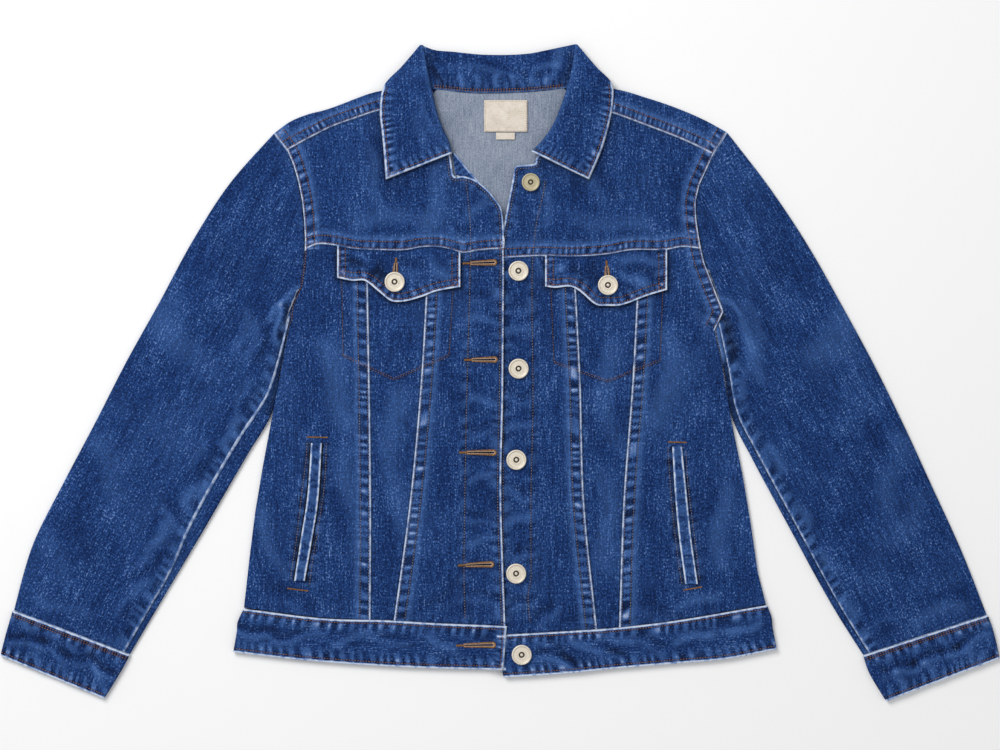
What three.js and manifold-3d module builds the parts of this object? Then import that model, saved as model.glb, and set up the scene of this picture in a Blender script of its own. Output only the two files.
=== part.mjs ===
// Denim jacket laid flat, front up, with its sleeves spread and its front open by a hand's width at the neck.
// Millimetres. X runs across the jacket, +Y toward the collar, +Z up from the surface that it lies on.
// The wearer's right side (_r) lies at -X, the wearer's left side (_l) at +X.
import * as THREE from "three";
import { mergeVertices } from "three/addons/utils/BufferGeometryUtils.js";
import Module from "manifold-3d";

const wasm = await Module();
wasm.setup();
const { smoothstep, lerp, degToRad } = THREE.MathUtils;

// Cloth and seams
const CLOTH = 1.2; // one layer of denim
const GAP = 0.3; // space between neighbouring pieces
const FELL_WIDTH = 8; // felled seam, across its two stitch rows
const FELL_RISE = 0.7; // how far a felled seam stands above its panel
const FELL_STEP = 0.4; // half the width of the step at a felled seam's side
const FLAP = 1.6; // pocket flap
const WELT = 1.2; // pocket welt
const BAND = 2.4; // waistband, cloth folded on itself
const CUFF = 2.2;
const COLLAR = 2.2;
const STAND = 1.6; // collar stand where it lies under the fall
const LABEL = 1;

// Heights of the laid cloth
const BACK_TOP = CLOTH; // the back lies on the surface
const FRONT_REST = BACK_TOP + GAP; // the front lies on the back
const PUFF = 1.6; // how far the front stands off the back in its middle
const PUFF_SHOULDER = 0.4; // the same at the shoulders
const HEM_PUFF = BAND - BACK_TOP + 0.1; // the same at the waistband, which is thicker
const NECK_LIFT = COLLAR + GAP; // the back yoke lies on the collar's folded-back fall
const LAP_RISE = CLOTH + FELL_RISE + GAP; // a piece that lies on a seamed panel

// Hardware and small pieces
const BUTTON_RADIUS = 8.5;
const BUTTON_HEIGHT = 3;
const RIM_WIDTH = 1.4;
const DISH_DEPTH = 0.5;
const PLACKET_WIDTH = 30;
const CENTRE_LAP = 12; // width over which the upper front edge rises onto the lower one
const LAP_FULL = -4.5; // x where it lies fully above
const STAND_WIDTH = 16; // collar stand hidden under the fall
const ROLL_WIDTH = 2.4; // solid cloth at a folded edge

// A table has one row for each section, with its columns named in the first argument.
const table = (names, ...rows) =>
  rows.map((row) => Object.fromEntries(names.split(" ").map((name, i) => [name, row[i]])));

// Armholes, from the shoulder to the underarm
const ARMHOLE = {
  r: table("x y", [-192.1, 204], [-186.6, 196.8], [-181.1, 189.6], [-176, 177.7], [-171.7, 163.2],
    [-168.3, 146.2], [-166.6, 130.1], [-165.8, 113.9], [-166, 105], [-167, 92], [-169.5, 74.5],
    [-177.2, 57.8], [-178.5, 42.5]),
  l: table("x y", [193, 204.9], [187.3, 195.4], [181.6, 186], [175, 171.5], [169.6, 159.8],
    [166.2, 145], [167, 130], [169.4, 114], [170.9, 106], [173.5, 94.5], [182.8, 70.6],
    [190, 52], [182.5, 36.5]),
};
const FORWARD_SEAM = 2; // armhole rows where the shoulder seam and the yoke seam start
const YOKE_SEAM = 8;

// Side edges of the body, from the underarm to the waistband
const SIDE = {
  r: table("x y", [-178.5, 42.5], [-182.8, 21.3], [-188.7, -10.2], [-193.8, -36.6], [-201.5, -77.4],
    [-208.3, -118.2], [-213.4, -159], [-217.8, -199.6]),
  l: table("x y", [182.5, 36.5], [187.9, 12.8], [192.5, -14], [198.1, -46.8], [206.6, -87.6],
    [213.4, -128.4], [219.3, -169.2], [226.2, -197]),
};

// Sleeve sections from the armhole to the cuff: outer edge, inner edge, height of the cloth's top,
// and how far the inseam lies in from the inner edge
const SLEEVE = {
  r: table("outerX outerY innerX innerY height inseam",
    [-192.1, 204, -179.3, 42.5, 3.2, 5], [-230.4, 160.6, -187.3, 3.9, 4.4, 8],
    [-262, 111.6, -195.7, -34.2, 5, 14.5], [-289.8, 60.1, -214.3, -68.7, 5.2, 16.6],
    [-318, 9.4, -234.2, -102.8, 5.4, 15.8], [-344.4, -42.3, -254, -136.9, 5.2, 13],
    [-371.9, -94.5, -274.2, -170.7, 5, 6.5], [-397.6, -146.5, -294.3, -204.5, 4.8, 5.5],
    [-413.6, -202, -314.9, -239.4, 4.6, 5]),
  l: table("outerX outerY innerX innerY height inseam",
    [193, 204.9, 183.4, 36.5, 3.2, 5], [228.6, 158.7, 192.2, -1.1, 4.4, 5],
    [261, 110, 198.9, -38.5, 5, 5], [290, 59, 214.6, -73.1, 5.2, 5],
    [317.8, 7.7, 232.6, -106.7, 5.4, 5], [343.8, -45, 250.8, -140.2, 5.2, 5],
    [368.2, -98, 268.9, -173.7, 5, 5], [392.7, -151.6, 287.9, -206.7, 4.8, 5],
    [414, -205.7, 309, -239.8, 4.6, 5]),
};
const UNDER_SEAM = 4; // armhole row where the hidden sleeve seam starts on the underside

// Cuffs, from the sleeve to the hem
const CUFFS = {
  r: table("outerX outerY innerX innerY", [-414.3, -201.7, -314.6, -239.5], [-419.1, -217.6, -320, -249.8],
    [-422.4, -230, -327.8, -263], [-425, -240.4, -336.6, -277]),
  l: table("outerX outerY innerX innerY", [414.7, -205.5, 308.7, -239.9], [419.1, -217.6, 313.5, -254],
    [422.3, -230, 320.5, -266.5], [425, -242.6, 328.4, -279.2]),
};

// Cross seams, each as a height over x
const FORWARD = {
  r: table("x y", [-181.1, 189.6], [-170.9, 195.1], [-157.3, 202.3], [-143.7, 209.1], [-122.4, 216.8],
    [-103.7, 222.7], [-60, 232]),
  l: table("x y", [58, 232], [96.1, 220.6], [117.3, 213], [133.5, 207], [150.5, 200.4], [165, 194],
    [181.6, 186]),
};
const SHOULDER = {
  r: table("x y", [-192.1, 204], [-179.4, 213.4], [-163.2, 220.2], [-149.6, 223.6], [-102, 239.7],
    [-80, 240.6], [-57, 241.2]),
  l: table("x y", [57, 242], [80, 242.2], [96.1, 241.6], [125.8, 233.8], [153, 224.4], [174.3, 215.1],
    [193, 204.9]),
};
const NECK = table("x y", [-57, 241.2], [-23.8, 238], [24.7, 238.9], [57, 242]);
const YOKE = {
  r: table("x y", [-166, 105], [-85, 105.4], [3.8, 106]),
  l: table("x y", [-0.5, 97.8], [85.9, 102], [170.9, 106]),
};
const BACK_YOKE = table("x y", [-166, 105], [170.9, 106]);
const HEM_TOP = {
  r: table("x y", [-217.9, -200.3], [-149.2, -208.6], [-96.1, -210.2], [-51, -212.8], [6, -214.8]),
  l: table("x y", [-1, -222.6], [58.2, -219.3], [95.2, -216.8], [144.5, -211.1], [227, -197.2]),
  back: table("x y", [-217.9, -200.3], [-80, -207], [80, -206], [227, -197.2]),
};
const HEM_BOTTOM = {
  r: table("x y", [-227, -237.4], [-170, -244], [-128.4, -247.4], [-68, -250.8], [4, -252.4]),
  l: table("x y", [1, -259], [51, -255.9], [95.2, -251.6], [144.5, -247.4], [191.3, -243.4], [235.5, -235]),
  back: table("x y", [-227, -237.4], [-80, -246], [80, -246], [235.5, -235]),
};
const HEM_SIDE = {
  r: table("x y", [-217.9, -200.3], [-223.2, -211.7], [-224, -220.5], [-227, -237.4]),
  l: table("x y", [227, -197.2], [230.9, -207.4], [232, -217], [235.5, -235]),
};
const HEM_END = {
  r: table("x y", [6, -214.8], [4.8, -226], [4, -239.7], [2.2, -252.4]),
  l: table("x y", [0.5, -222.6], [0.2, -235], [0.6, -248], [3, -259]),
};

// Long seams of the fronts, each as an x over y
const WEDGE_OUTER = {
  r: table("x y", [-113, 108], [-112.2, 70.6], [-109.7, -108], [-110.1, -212]),
  l: table("x y", [118.2, 106], [112.6, -6], [105, -108], [101.2, -218]),
};
const WEDGE_INNER = {
  r: table("x y", [-60.8, 109], [-67.2, -6], [-76.5, -108], [-90.5, -213]),
  l: table("x y", [62.9, 101], [68.4, -6], [71.4, -108], [82.5, -219]),
};
const FRONT_EDGE = {
  r: table("x y", [3.4, 112], [3.4, 76.5], [2.6, -24.7], [1.1, -98.6], [2.6, -159], [4.7, -216]),
  l: table("x y", [-0.5, 112], [-0.5, -224]),
};

// Neckline and front edge of each front yoke, from the shoulder seam to the yoke seam
const NECKLINE = {
  r: table("x y", [-60, 232], [-53, 212], [-44.5, 192], [-41.5, 181], [-40, 169.4], [-37.5, 166.8],
    [-30.5, 167.4], [-20.5, 164], [-10.2, 155.6], [0.9, 141.1], [3, 129], [3.4, 118], [3.8, 106]),
  l: table("x y", [58, 232], [53, 216], [44, 201], [36, 190], [30.5, 182.5], [28.9, 177.7],
    [12.8, 176], [10.8, 166], [8.5, 153.9], [6, 141.1], [3.6, 128], [0.6, 112], [-0.5, 97.8]),
};
const FACING = {
  outer: table("x y", [-41, 187], [-38.5, 172], [-35, 150], [-33.5, 128], [-33, 108]),
  inner: table("x y", [-38.6, 187.4], [-25.5, 171.3], [-10, 154], [0, 137], [1.4, 108]),
};

// Collar falls from the tip to the free edge: outer edge and roll edge
const FALL = {
  r: table("outerX outerY innerX innerY", [-68.2, 278.4, -65.2, 278.6], [-83, 261, -62.2, 262],
    [-98.6, 243.6, -58.5, 244], [-102, 222, -53.5, 222], [-100.5, 205, -48.5, 208],
    [-98.8, 187, -43, 196], [-97, 164.2, -40.8, 186.2]),
  l: table("outerX outerY innerX innerY", [66, 278.8, 63.6, 279.4], [81, 261, 61.5, 262],
    [94.8, 246, 58, 246.5], [96, 230, 52.5, 229], [93.4, 214, 45.5, 212],
    [87, 191, 36.5, 198.4], [75.7, 164.1, 26.4, 187.9]),
};
const FOLD_ROW = 2; // last row of the fold that carries the fall round to the back
const COLLAR_TOP = table("x y", [-67.2, 278.8], [-55.3, 274.6], [-40.8, 273.2], [-12.8, 270.6],
  [24.7, 271.6], [38.3, 274.2], [64.6, 279.7]);
const UNDER_FALL = table("x y", [-98.6, 242], [-60, 227], [60, 227], [94.8, 244.6]);
const COLLAR_SLOPE = {
  r: table("x y", [-67.2, 278.8], [-98.6, 242.3]),
  l: table("x y", [64.6, 279.7], [94.8, 245]),
};
const STAND_SIDE = {
  r: table("x y", [-66.6, 279], [-61.5, 240]),
  l: table("x y", [64.8, 280], [61, 240]),
};

// Pocket flaps: bottom outline over x, between straight sides
const FLAPS = {
  r: { left: -138.4, right: -33.6, bottom: table("x y", [-138.4, 80.8], [-125, 78.2], [-114.8, 78.2],
    [-103.7, 69.7], [-92.7, 61.2], [-83.3, 60.4], [-66.3, 64.6], [-55.3, 68.9], [-33.6, 73.1]) },
  l: { left: 38.2, right: 142, bottom: table("x y", [38.2, 73.4], [46.3, 72.3], [60.4, 73.1],
    [67.2, 69.7], [81.6, 57.8], [90.5, 57], [102, 57.3], [125, 65.5], [142, 70.6]) },
};
const WELTS = {
  r: table("outerX outerY innerX innerY", [-160.7, -59.5, -151.3, -59.5], [-163.8, -104, -154.4, -108],
    [-169.3, -140, -160.2, -145], [-175.1, -176.8, -165.8, -176.8]),
  l: table("outerX outerY innerX innerY", [154.7, -62.5, 146.2, -62.5], [158.6, -102, 148.8, -106],
    [162.6, -140, 152.2, -142], [168.3, -179.4, 157.3, -179.4]),
};

// Buttons from the neck down, then the flap buttons
const FRONT_BUTTONS = table("x y", [26.1, 162], [15.7, 86.7], [15.8, 3.7], [13.9, -73.7], [13.7, -170.3],
  [18.4, -239.3]);
const FLAP_BUTTONS = { r: { x: -89.4, y: 77.3 }, l: { x: 91.6, y: 74.6 } };
const NECK_LABEL = { left: -13.6, right: 23.4, top: 232, bottom: 204.9 };
const SIZE_TAB = { left: -3.4, right: 12.8, top: 204.5, bottom: 198.5 };

// Largest folds: the line along the crest, its half width and its height
const FOLDS = table("x1 y1 x2 y2 width height",
  [-262, 30, -205, 8, 15, 0.7], [-300, -28, -238, -62, 16, 0.7], [-352, -120, -300, -152, 15, 0.6],
  [-390, -178, -330, -214, 13, 0.6], [-215, 120, -190, 60, 14, 0.5],
  [258, 34, 204, 4, 15, 0.7], [306, -40, 236, -58, 16, 0.7], [350, -112, 292, -160, 15, 0.6],
  [392, -176, 326, -212, 13, 0.6], [214, 116, 203, 50, 14, 0.5]);

// Materials
const finish = (color, roughness, metalness = 0) =>
  new THREE.MeshStandardMaterial({ color, roughness, metalness });
const DENIM = finish("#2b4f8e", 0.9);
const DENIM_INSIDE = finish("#9aa9bc", 0.95);
const BUTTON_METAL = finish("#d9d0bd", 0.35, 0.6);
const LABEL_CLOTH = finish("#ddd3c2", 0.85);

// Smooth value of one column over another
function over(rows, key, value) {
  const sorted = [...rows].sort((a, b) => a[key] - b[key]);
  const track = new THREE.CubicInterpolant(sorted.map((r) => r[key]), sorted.map((r) => r[value]), 1);
  return (at) => track.evaluate(at)[0];
}

// Straight or smooth line through a table's rows, with t from 0 to 1
function polyline(rows) {
  return (t) => {
    const place = Math.min(Math.max(t, 0), 1) * (rows.length - 1);
    const i = Math.min(Math.floor(place), rows.length - 2);
    return { x: lerp(rows[i].x, rows[i + 1].x, place - i), y: lerp(rows[i].y, rows[i + 1].y, place - i) };
  };
}

function spline(rows, x = "x", y = "y") {
  const curve = new THREE.SplineCurve(rows.map((row) => new THREE.Vector2(row[x], row[y])));
  return (t) => curve.getPoint(t);
}

// Line along a cross seam between two x values
const across = (rows, from, to) => {
  const height = over(rows, "x", "y");
  return (t) => ({ x: lerp(from, to, t), y: height(lerp(from, to, t)) });
};

// Line down a long seam between two y values
const down = (rows, from, to) => {
  const offset = over(rows, "y", "x");
  return (t) => ({ x: offset(lerp(from, to, t)), y: lerp(from, to, t) });
};

// Corner where a cross seam meets a long seam
function meet(crossRows, longRows) {
  const height = over(crossRows, "x", "y");
  const offset = over(longRows, "y", "x");
  let x = longRows[0].x;
  for (let i = 0; i < 12; i++) x = offset(height(x));
  return { x, y: height(x) };
}

// Patch of cloth between four lines: u runs from left to right, v from top to bottom
function patch({ top, bottom, left, right }) {
  const corner = [top(0), top(1), bottom(0), bottom(1)];
  const blend = (axis, u, v) =>
    lerp(top(u)[axis], bottom(u)[axis], v) + lerp(left(v)[axis], right(v)[axis], u) -
    lerp(lerp(corner[0][axis], corner[1][axis], u), lerp(corner[2][axis], corner[3][axis], u), v);
  const at = (u, v) => ({ x: blend("x", u, v), y: blend("y", u, v) });
  const width = (v) => Math.hypot(right(v).x - left(v).x, right(v).y - left(v).y);
  const height = (u) => Math.hypot(bottom(u).x - top(u).x, bottom(u).y - top(u).y);
  return { at, width, height };
}

// Patch between two cross seams and two long seams
function quad(topRows, bottomRows, leftRows, rightRows) {
  const corners = [meet(topRows, leftRows), meet(topRows, rightRows), meet(bottomRows, leftRows),
    meet(bottomRows, rightRows)];
  return patch({
    top: across(topRows, corners[0].x, corners[1].x),
    bottom: across(bottomRows, corners[2].x, corners[3].x),
    left: down(leftRows, corners[0].y, corners[2].y),
    right: down(rightRows, corners[1].y, corners[3].y),
  });
}

// Patch whose sections run straight from an outer to an inner edge
function ruled(rows) {
  const outer = spline(rows, "outerX", "outerY");
  const inner = spline(rows, "innerX", "innerY");
  const line = (t) => (u) => ({
    x: lerp(outer(t).x, inner(t).x, u), y: lerp(outer(t).y, inner(t).y, u),
  });
  return patch({ top: line(0), bottom: line(1), left: outer, right: inner });
}

// Places across a patch: distances from its first edge, even steps, then distances from its last edge.
// Each has a rise of 1 on a felled seam and 0 elsewhere.
const FELL = table("from rise", [0, 1], [FELL_WIDTH - FELL_STEP, 1], [FELL_WIDTH + FELL_STEP, 0]);
const PLAIN = table("from rise", [0, 0]);
function places({ first = PLAIN, steps, last = PLAIN }) {
  const inset = GAP / 2;
  const start = first.at(-1).from + inset;
  const end = last.at(-1).from + inset;
  const even = Array.from({ length: steps - 1 }, (_, i) => (i + 1) / steps);
  return [
    ...first.map(({ from, rise }) => ({ rise, at: (size) => (from + inset) / size })),
    ...even.map((share) => ({ rise: 0, at: (size) => lerp(start, size - end, share) / size })),
    ...[...last].reverse().map(({ from, rise }) => ({ rise, at: (size) => 1 - (from + inset) / size })),
  ];
}

// Places at given shares of a patch, held clear of its two ends
const shares = (list) => list.map((share) => ({
  rise: 0,
  at: (size) => Math.min(Math.max(share, GAP / 2 / size), 1 - GAP / 2 / size),
}));

// Shares of the way down a line of rows
const rowShares = (rows) =>
  rows.map((row) => (row.y - rows[0].y) / (rows.at(-1).y - rows[0].y));

// Closed mesh with its faces turned outward
function sealed(geometry) {
  geometry.deleteAttribute("normal");
  geometry.deleteAttribute("uv");
  const body = mergeVertices(geometry, 1e-4);
  body.clearGroups();
  const [a, b, c] = [0, 1, 2].map(() => new THREE.Vector3());
  const index = body.index;
  let volume = 0;
  for (let i = 0; i < index.count; i += 3) {
    [a, b, c].forEach((corner, k) => corner.fromBufferAttribute(body.attributes.position, index.getX(i + k)));
    volume += a.dot(b.cross(c));
  }
  if (volume < 0) {
    for (let i = 0; i < index.count; i += 3) {
      const first = index.getX(i);
      index.setX(i, index.getX(i + 1));
      index.setX(i + 1, first);
    }
  }
  body.computeVertexNormals();
  return body;
}

// Wall of cloth: a box divided into columns and rows, each corner moved to its place
function wall(columns, rows, place) {
  const geometry = new THREE.BoxGeometry(1, 1, 1, columns.length - 1, rows.length - 1, 1);
  const position = geometry.attributes.position;
  for (let i = 0; i < position.count; i++) {
    const column = columns[Math.round((position.getX(i) + 0.5) * (columns.length - 1))];
    const row = rows[Math.round((0.5 - position.getY(i)) * (rows.length - 1))];
    const { x, y, z } = place(column, row, position.getZ(i) > 0);
    position.setXYZ(i, x, y, z);
  }
  return sealed(geometry);
}

// Flat piece on a patch, with its lower and upper faces at given heights
function sheet(area, columns, rows, lower, upper) {
  return wall(columns, rows, (column, row, isTop) => {
    const v = row.at(area.height(0.5));
    const u = column.at(area.width(v));
    const { x, y } = area.at(u, v);
    return { x, y, z: isTop ? upper(x, y, Math.max(column.rise, row.rise)) : lower(x, y) };
  });
}

// Joins closed meshes into one
function joined(...geometries) {
  const solids = geometries.map((geometry) => new wasm.Manifold(new wasm.Mesh({
    numProp: 3,
    vertProperties: geometry.attributes.position.array,
    triVerts: new Uint32Array(geometry.index.array),
  })));
  const mesh = solids.reduce((sum, solid) => sum.add(solid)).getMesh();
  const geometry = new THREE.BufferGeometry();
  geometry.setAttribute("position", new THREE.BufferAttribute(mesh.vertProperties, 3));
  geometry.setIndex(new THREE.BufferAttribute(mesh.triVerts, 1));
  geometry.computeVertexNormals();
  return geometry;
}

// Heights of the laid cloth at a point. The back yoke and all above it rise over the collar's hidden fall,
// and the front lies closer to the back toward its sides and shoulders.
function foldHeight(x, y) {
  return FOLDS.reduce((sum, fold) => {
    const length = Math.hypot(fold.x2 - fold.x1, fold.y2 - fold.y1);
    const dx = (fold.x2 - fold.x1) / length;
    const dy = (fold.y2 - fold.y1) / length;
    const along = (x - fold.x1) * dx + (y - fold.y1) * dy;
    const aside = (x - fold.x1) * dy - (y - fold.y1) * dx;
    const past = Math.max(-along, along - length, 0);
    return sum + fold.height * Math.exp(-(aside * aside + past * past) / (fold.width * fold.width));
  }, 0);
}
const NECK_RAMP = { start: 190, end: 225 };
const NECK_SIDE = { start: 104, end: 128 };
const SHOULDER_RAMP = { start: 188, end: 215 };
const SIDE_RAMP = { start: 120, end: 215 };
const HEM_RAMP = { start: 182, end: 196 };
const ramp = (value, { start, end }) => smoothstep(value, start, end);
const neckLift = (x, y) => NECK_LIFT * ramp(y, NECK_RAMP) * (1 - ramp(Math.abs(x), NECK_SIDE));
const bodyPuff = (x, y) =>
  lerp(PUFF, PUFF_SHOULDER, ramp(y, SHOULDER_RAMP)) * (1 - ramp(Math.abs(x), SIDE_RAMP));
const puff = (x, y) => lerp(bodyPuff(x, y), Math.max(bodyPuff(x, y), HEM_PUFF), ramp(-y, HEM_RAMP));
const frontRest = (x, y) => FRONT_REST + puff(x, y) + neckLift(x, y);
const centreLap = (x) => LAP_RISE * smoothstep(x, LAP_FULL - CENTRE_LAP, LAP_FULL);
const rise = (amount) => CLOTH + FELL_RISE * amount;

const jacket = new THREE.Group();
jacket.name = "denim_jacket";
function add(name, geometry, material) {
  const mesh = new THREE.Mesh(geometry, material);
  mesh.name = name;
  jacket.add(mesh);
}

// Back: one body panel below a yoke that also wraps forward over the shoulders
function addBack() {
  const sides = { r: [...ARMHOLE.r.slice(YOKE_SEAM), ...SIDE.r.slice(1)], l: [...ARMHOLE.l.slice(YOKE_SEAM), ...SIDE.l.slice(1)] };
  const body = patch({
    top: across(BACK_YOKE, sides.r[0].x, sides.l[0].x),
    bottom: across(HEM_TOP.back, HEM_TOP.back[0].x, HEM_TOP.back.at(-1).x),
    left: polyline(sides.r),
    right: polyline(sides.l),
  });
  const bodyRows = shares(sides.r.map((_, i) => i / (sides.r.length - 1)));
  add("back_body", sheet(body, places({ steps: 6 }), bodyRows, () => 0, () => BACK_TOP), DENIM);

  const topLine = [...SHOULDER.r, ...NECK.slice(1), ...SHOULDER.l.slice(1)];
  const yoke = patch({
    top: across(topLine.map(({ x, y }) => ({ x, y })), SHOULDER.r[0].x, SHOULDER.l.at(-1).x),
    bottom: across(BACK_YOKE, BACK_YOKE[0].x, BACK_YOKE.at(-1).x),
    left: polyline(ARMHOLE.r.slice(0, YOKE_SEAM + 1)),
    right: polyline(ARMHOLE.l.slice(0, YOKE_SEAM + 1)),
  });
  const inset = 5.5; // the shoulder wraps take over this far from the fold
  const rows = Array.from({ length: YOKE_SEAM + 3 }, (_, i) => i / (YOKE_SEAM + 2));
  const isNeck = (x) => Math.abs(x) < 56;
  const under = wall(places({ steps: 14 }), rows, (column, row, isTop) => {
    const u = column.at(yoke.width(0));
    const size = yoke.height(u);
    const start = isNeck(yoke.at(u, 0).x) ? GAP / 2 : inset;
    const { x, y } = yoke.at(u, lerp(start / size, 1 - GAP / 2 / size, row));
    return { x, y, z: neckLift(x, y) + (isTop ? CLOTH : 0) };
  });
  add("back_yoke", joined(under, shoulderWrap("r"), shoulderWrap("l")), DENIM);
}

// Part of the back yoke that folds over the shoulder onto the front
function shoulderWrap(side) {
  const [shoulder, forward] = [SHOULDER[side], FORWARD[side]];
  const [outer, inner] = side === "r" ? [0, shoulder.length - 1] : [shoulder.length - 1, 0];
  const outward = side === "r" ? -1 : 1;
  const edge = over(shoulder, "x", "y");
  const seam = over(forward, "x", "y");
  const sideX = over(ARMHOLE[side].slice(0, FORWARD_SEAM + 1), "y", "x");
  const seamOuter = side === "r" ? forward[0].x : forward.at(-1).x;
  const seamInner = side === "r" ? forward.at(-1).x : forward[0].x;
  const columns = Array.from({ length: 9 }, (_, i) => i / 8);
  const rows = [
    { run: "under", from: 9 }, { run: "under", from: 6 }, { run: "under", from: 4.9 },
    ...[-90, -30, 30, 90].map((angle) => ({ run: "fold", angle: degToRad(angle) })),
    { run: "over", share: 0.45, rise: 0 }, { run: "over", share: 0.5, rise: 1 },
    { run: "over", share: 1, rise: 1 },
  ];
  return wall(columns, rows, (share, row, isOuter) => {
    const topX = lerp(shoulder[outer].x, shoulder[inner].x, share);
    const top = edge(topX);
    const level = neckLift(topX, top - 4) + CLOTH / 2;
    const overLevel = frontRest(topX, top - 4) + CLOTH / 2;
    const radius = (overLevel - level) / 2;
    const centre = radius + CLOTH / 2;
    const inset = -outward * (1 - share) * GAP / 2;
    const beside = (y) => lerp(sideX(y), shoulder[inner].x, share) + inset;
    if (row.run === "under") {
      const half = row.from > 5 ? CLOTH / 2 - 0.25 : CLOTH / 2;
      const y = top - row.from;
      return { x: beside(y), y, z: neckLift(beside(y), y) + CLOTH / 2 + (isOuter ? -half : half) };
    }
    if (row.run === "fold") {
      const reach = radius + (isOuter ? CLOTH / 2 : -CLOTH / 2);
      const y = top - centre + Math.cos(row.angle) * reach;
      return { x: beside(y), y, z: (level + overLevel) / 2 + Math.sin(row.angle) * reach };
    }
    const seamX = lerp(seamOuter, seamInner, share);
    const x = lerp(beside(top - centre), seamX + inset, row.share);
    const y = lerp(top - centre, seam(seamX) + GAP / 2, row.share);
    return { x, y, z: frontRest(x, y) + (isOuter ? rise(row.rise) : 0) };
  });
}

// Fronts: yoke, side, wedge and centre panel on each side
function addFront(side) {
  const isRight = side === "r";
  const armholeRows = ARMHOLE[side].slice(FORWARD_SEAM, YOKE_SEAM + 1);
  const lap = (x) => (isRight ? centreLap(x) : 0);
  const lower = (x, y) => frontRest(x, y) + lap(x);
  const placket = (x) => (isRight ? smoothstep(x, -PLACKET_WIDTH, 4 - PLACKET_WIDTH)
    : 1 - smoothstep(x, PLACKET_WIDTH - 4, PLACKET_WIDTH));
  const upper = (x, y, amount) => lower(x, y) + rise(Math.max(amount, placket(x)));
  const facing = (x, y) => lower(x, y) + CLOTH;

  const forward = FORWARD[side];
  const yoke = patch({
    top: across(forward, forward[0].x, forward.at(-1).x),
    bottom: across(YOKE[side], YOKE[side][0].x, YOKE[side].at(-1).x),
    left: polyline(isRight ? armholeRows : NECKLINE.l),
    right: polyline(isRight ? NECKLINE.r : armholeRows),
  });
  const lapped = table("from rise", [0, 0], [6, 0], [20, 0]);
  const felled = isRight ? { first: FELL, last: lapped } : { last: FELL };
  const last = armholeRows.length - 1;
  const rows = [...shares(armholeRows.slice(0, -1).map((_, i) => i / last)), ...places({ steps: 1, last: FELL }).slice(1)];
  add(`front_yoke_${side}`, sheet(yoke, places({ ...felled, steps: 6 }), rows, lower, upper), DENIM);

  const sideRows = [...ARMHOLE[side].slice(YOKE_SEAM), ...SIDE[side].slice(1)];
  const top = YOKE[side];
  const [wedgeOuter, wedgeInner, hem] = [WEDGE_OUTER[side], WEDGE_INNER[side], HEM_TOP[side]];
  const cornerTop = meet(top, wedgeOuter);
  const cornerBottom = meet(hem, wedgeOuter);
  const seamLine = down(wedgeOuter, cornerTop.y, cornerBottom.y);
  const armLine = polyline(sideRows);
  const sidePanel = patch({
    top: isRight ? across(top, sideRows[0].x, cornerTop.x) : across(top, cornerTop.x, sideRows[0].x),
    bottom: isRight ? across(hem, sideRows.at(-1).x, cornerBottom.x) : across(hem, cornerBottom.x, sideRows.at(-1).x),
    left: isRight ? armLine : seamLine,
    right: isRight ? seamLine : armLine,
  });
  const sideFell = isRight ? { last: FELL } : { first: FELL };
  const downRows = shares(sideRows.map((_, i) => i / (sideRows.length - 1)));
  add(`front_side_${side}`, sheet(sidePanel, places({ ...sideFell, steps: 5 }), downRows, lower, upper), DENIM);

  const [wedgeLeft, wedgeRight] = isRight ? [wedgeOuter, wedgeInner] : [wedgeInner, wedgeOuter];
  const wedge = quad(top, hem, wedgeLeft, wedgeRight);
  add(`front_wedge_${side}`, sheet(wedge, places({ steps: 4 }), places({ steps: 8 }), lower, facing), DENIM);

  const centre = isRight ? quad(top, hem, wedgeInner, FRONT_EDGE.r) : quad(top, hem, FRONT_EDGE.l, wedgeInner);
  const edge = table("from rise", [0, 0], [6, 0], [20, 0], [PLACKET_WIDTH, 0], [PLACKET_WIDTH + 4, 0]);
  const columns = isRight ? places({ first: FELL, steps: 2, last: edge }) : places({ first: edge, steps: 2, last: FELL });
  add(`front_centre_${side}`, sheet(centre, columns, places({ steps: 8 }), lower, upper), DENIM);
}

// Inside facing of the right front, which shows at the neckline
function addFacing() {
  const area = patch({
    top: (t) => ({ x: lerp(FACING.outer[0].x, FACING.inner[0].x, t), y: lerp(FACING.outer[0].y, FACING.inner[0].y, t) }),
    bottom: (t) => ({ x: lerp(FACING.outer.at(-1).x, FACING.inner.at(-1).x, t), y: FACING.outer.at(-1).y }),
    left: spline(FACING.outer),
    right: spline(FACING.inner),
  });
  const lower = (x, y) => BACK_TOP + GAP + neckLift(x, y);
  add("facing_r", sheet(area, places({ steps: 3 }), places({ steps: 8 }), lower, (x, y) => lower(x, y) + CLOTH), DENIM_INSIDE);
}

// Pocket flap, sewn in under the yoke seam and lying on the panels
function addFlap(side) {
  const { left, right, bottom } = FLAPS[side];
  const area = patch({
    top: across(YOKE[side], left, right),
    bottom: across(bottom, left, right),
    left: (t) => ({ x: left, y: lerp(over(YOKE[side], "x", "y")(left), bottom[0].y, t) }),
    right: (t) => ({ x: right, y: lerp(over(YOKE[side], "x", "y")(right), bottom.at(-1).y, t) }),
  });
  const lower = (x, y) => frontRest(x, y) + LAP_RISE;
  add(`flap_${side}`, sheet(area, places({ steps: 12 }), places({ steps: 3 }), lower, (x, y) => lower(x, y) + FLAP), DENIM);
}

// Welt of a hand pocket
function addWelt(side) {
  const lower = (x, y) => frontRest(x, y) + CLOTH + GAP;
  add(`welt_${side}`, sheet(ruled(WELTS[side]), places({ steps: 1 }), places({ steps: 8 }), lower,
    (x, y) => lower(x, y) + WELT), DENIM);
}

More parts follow.
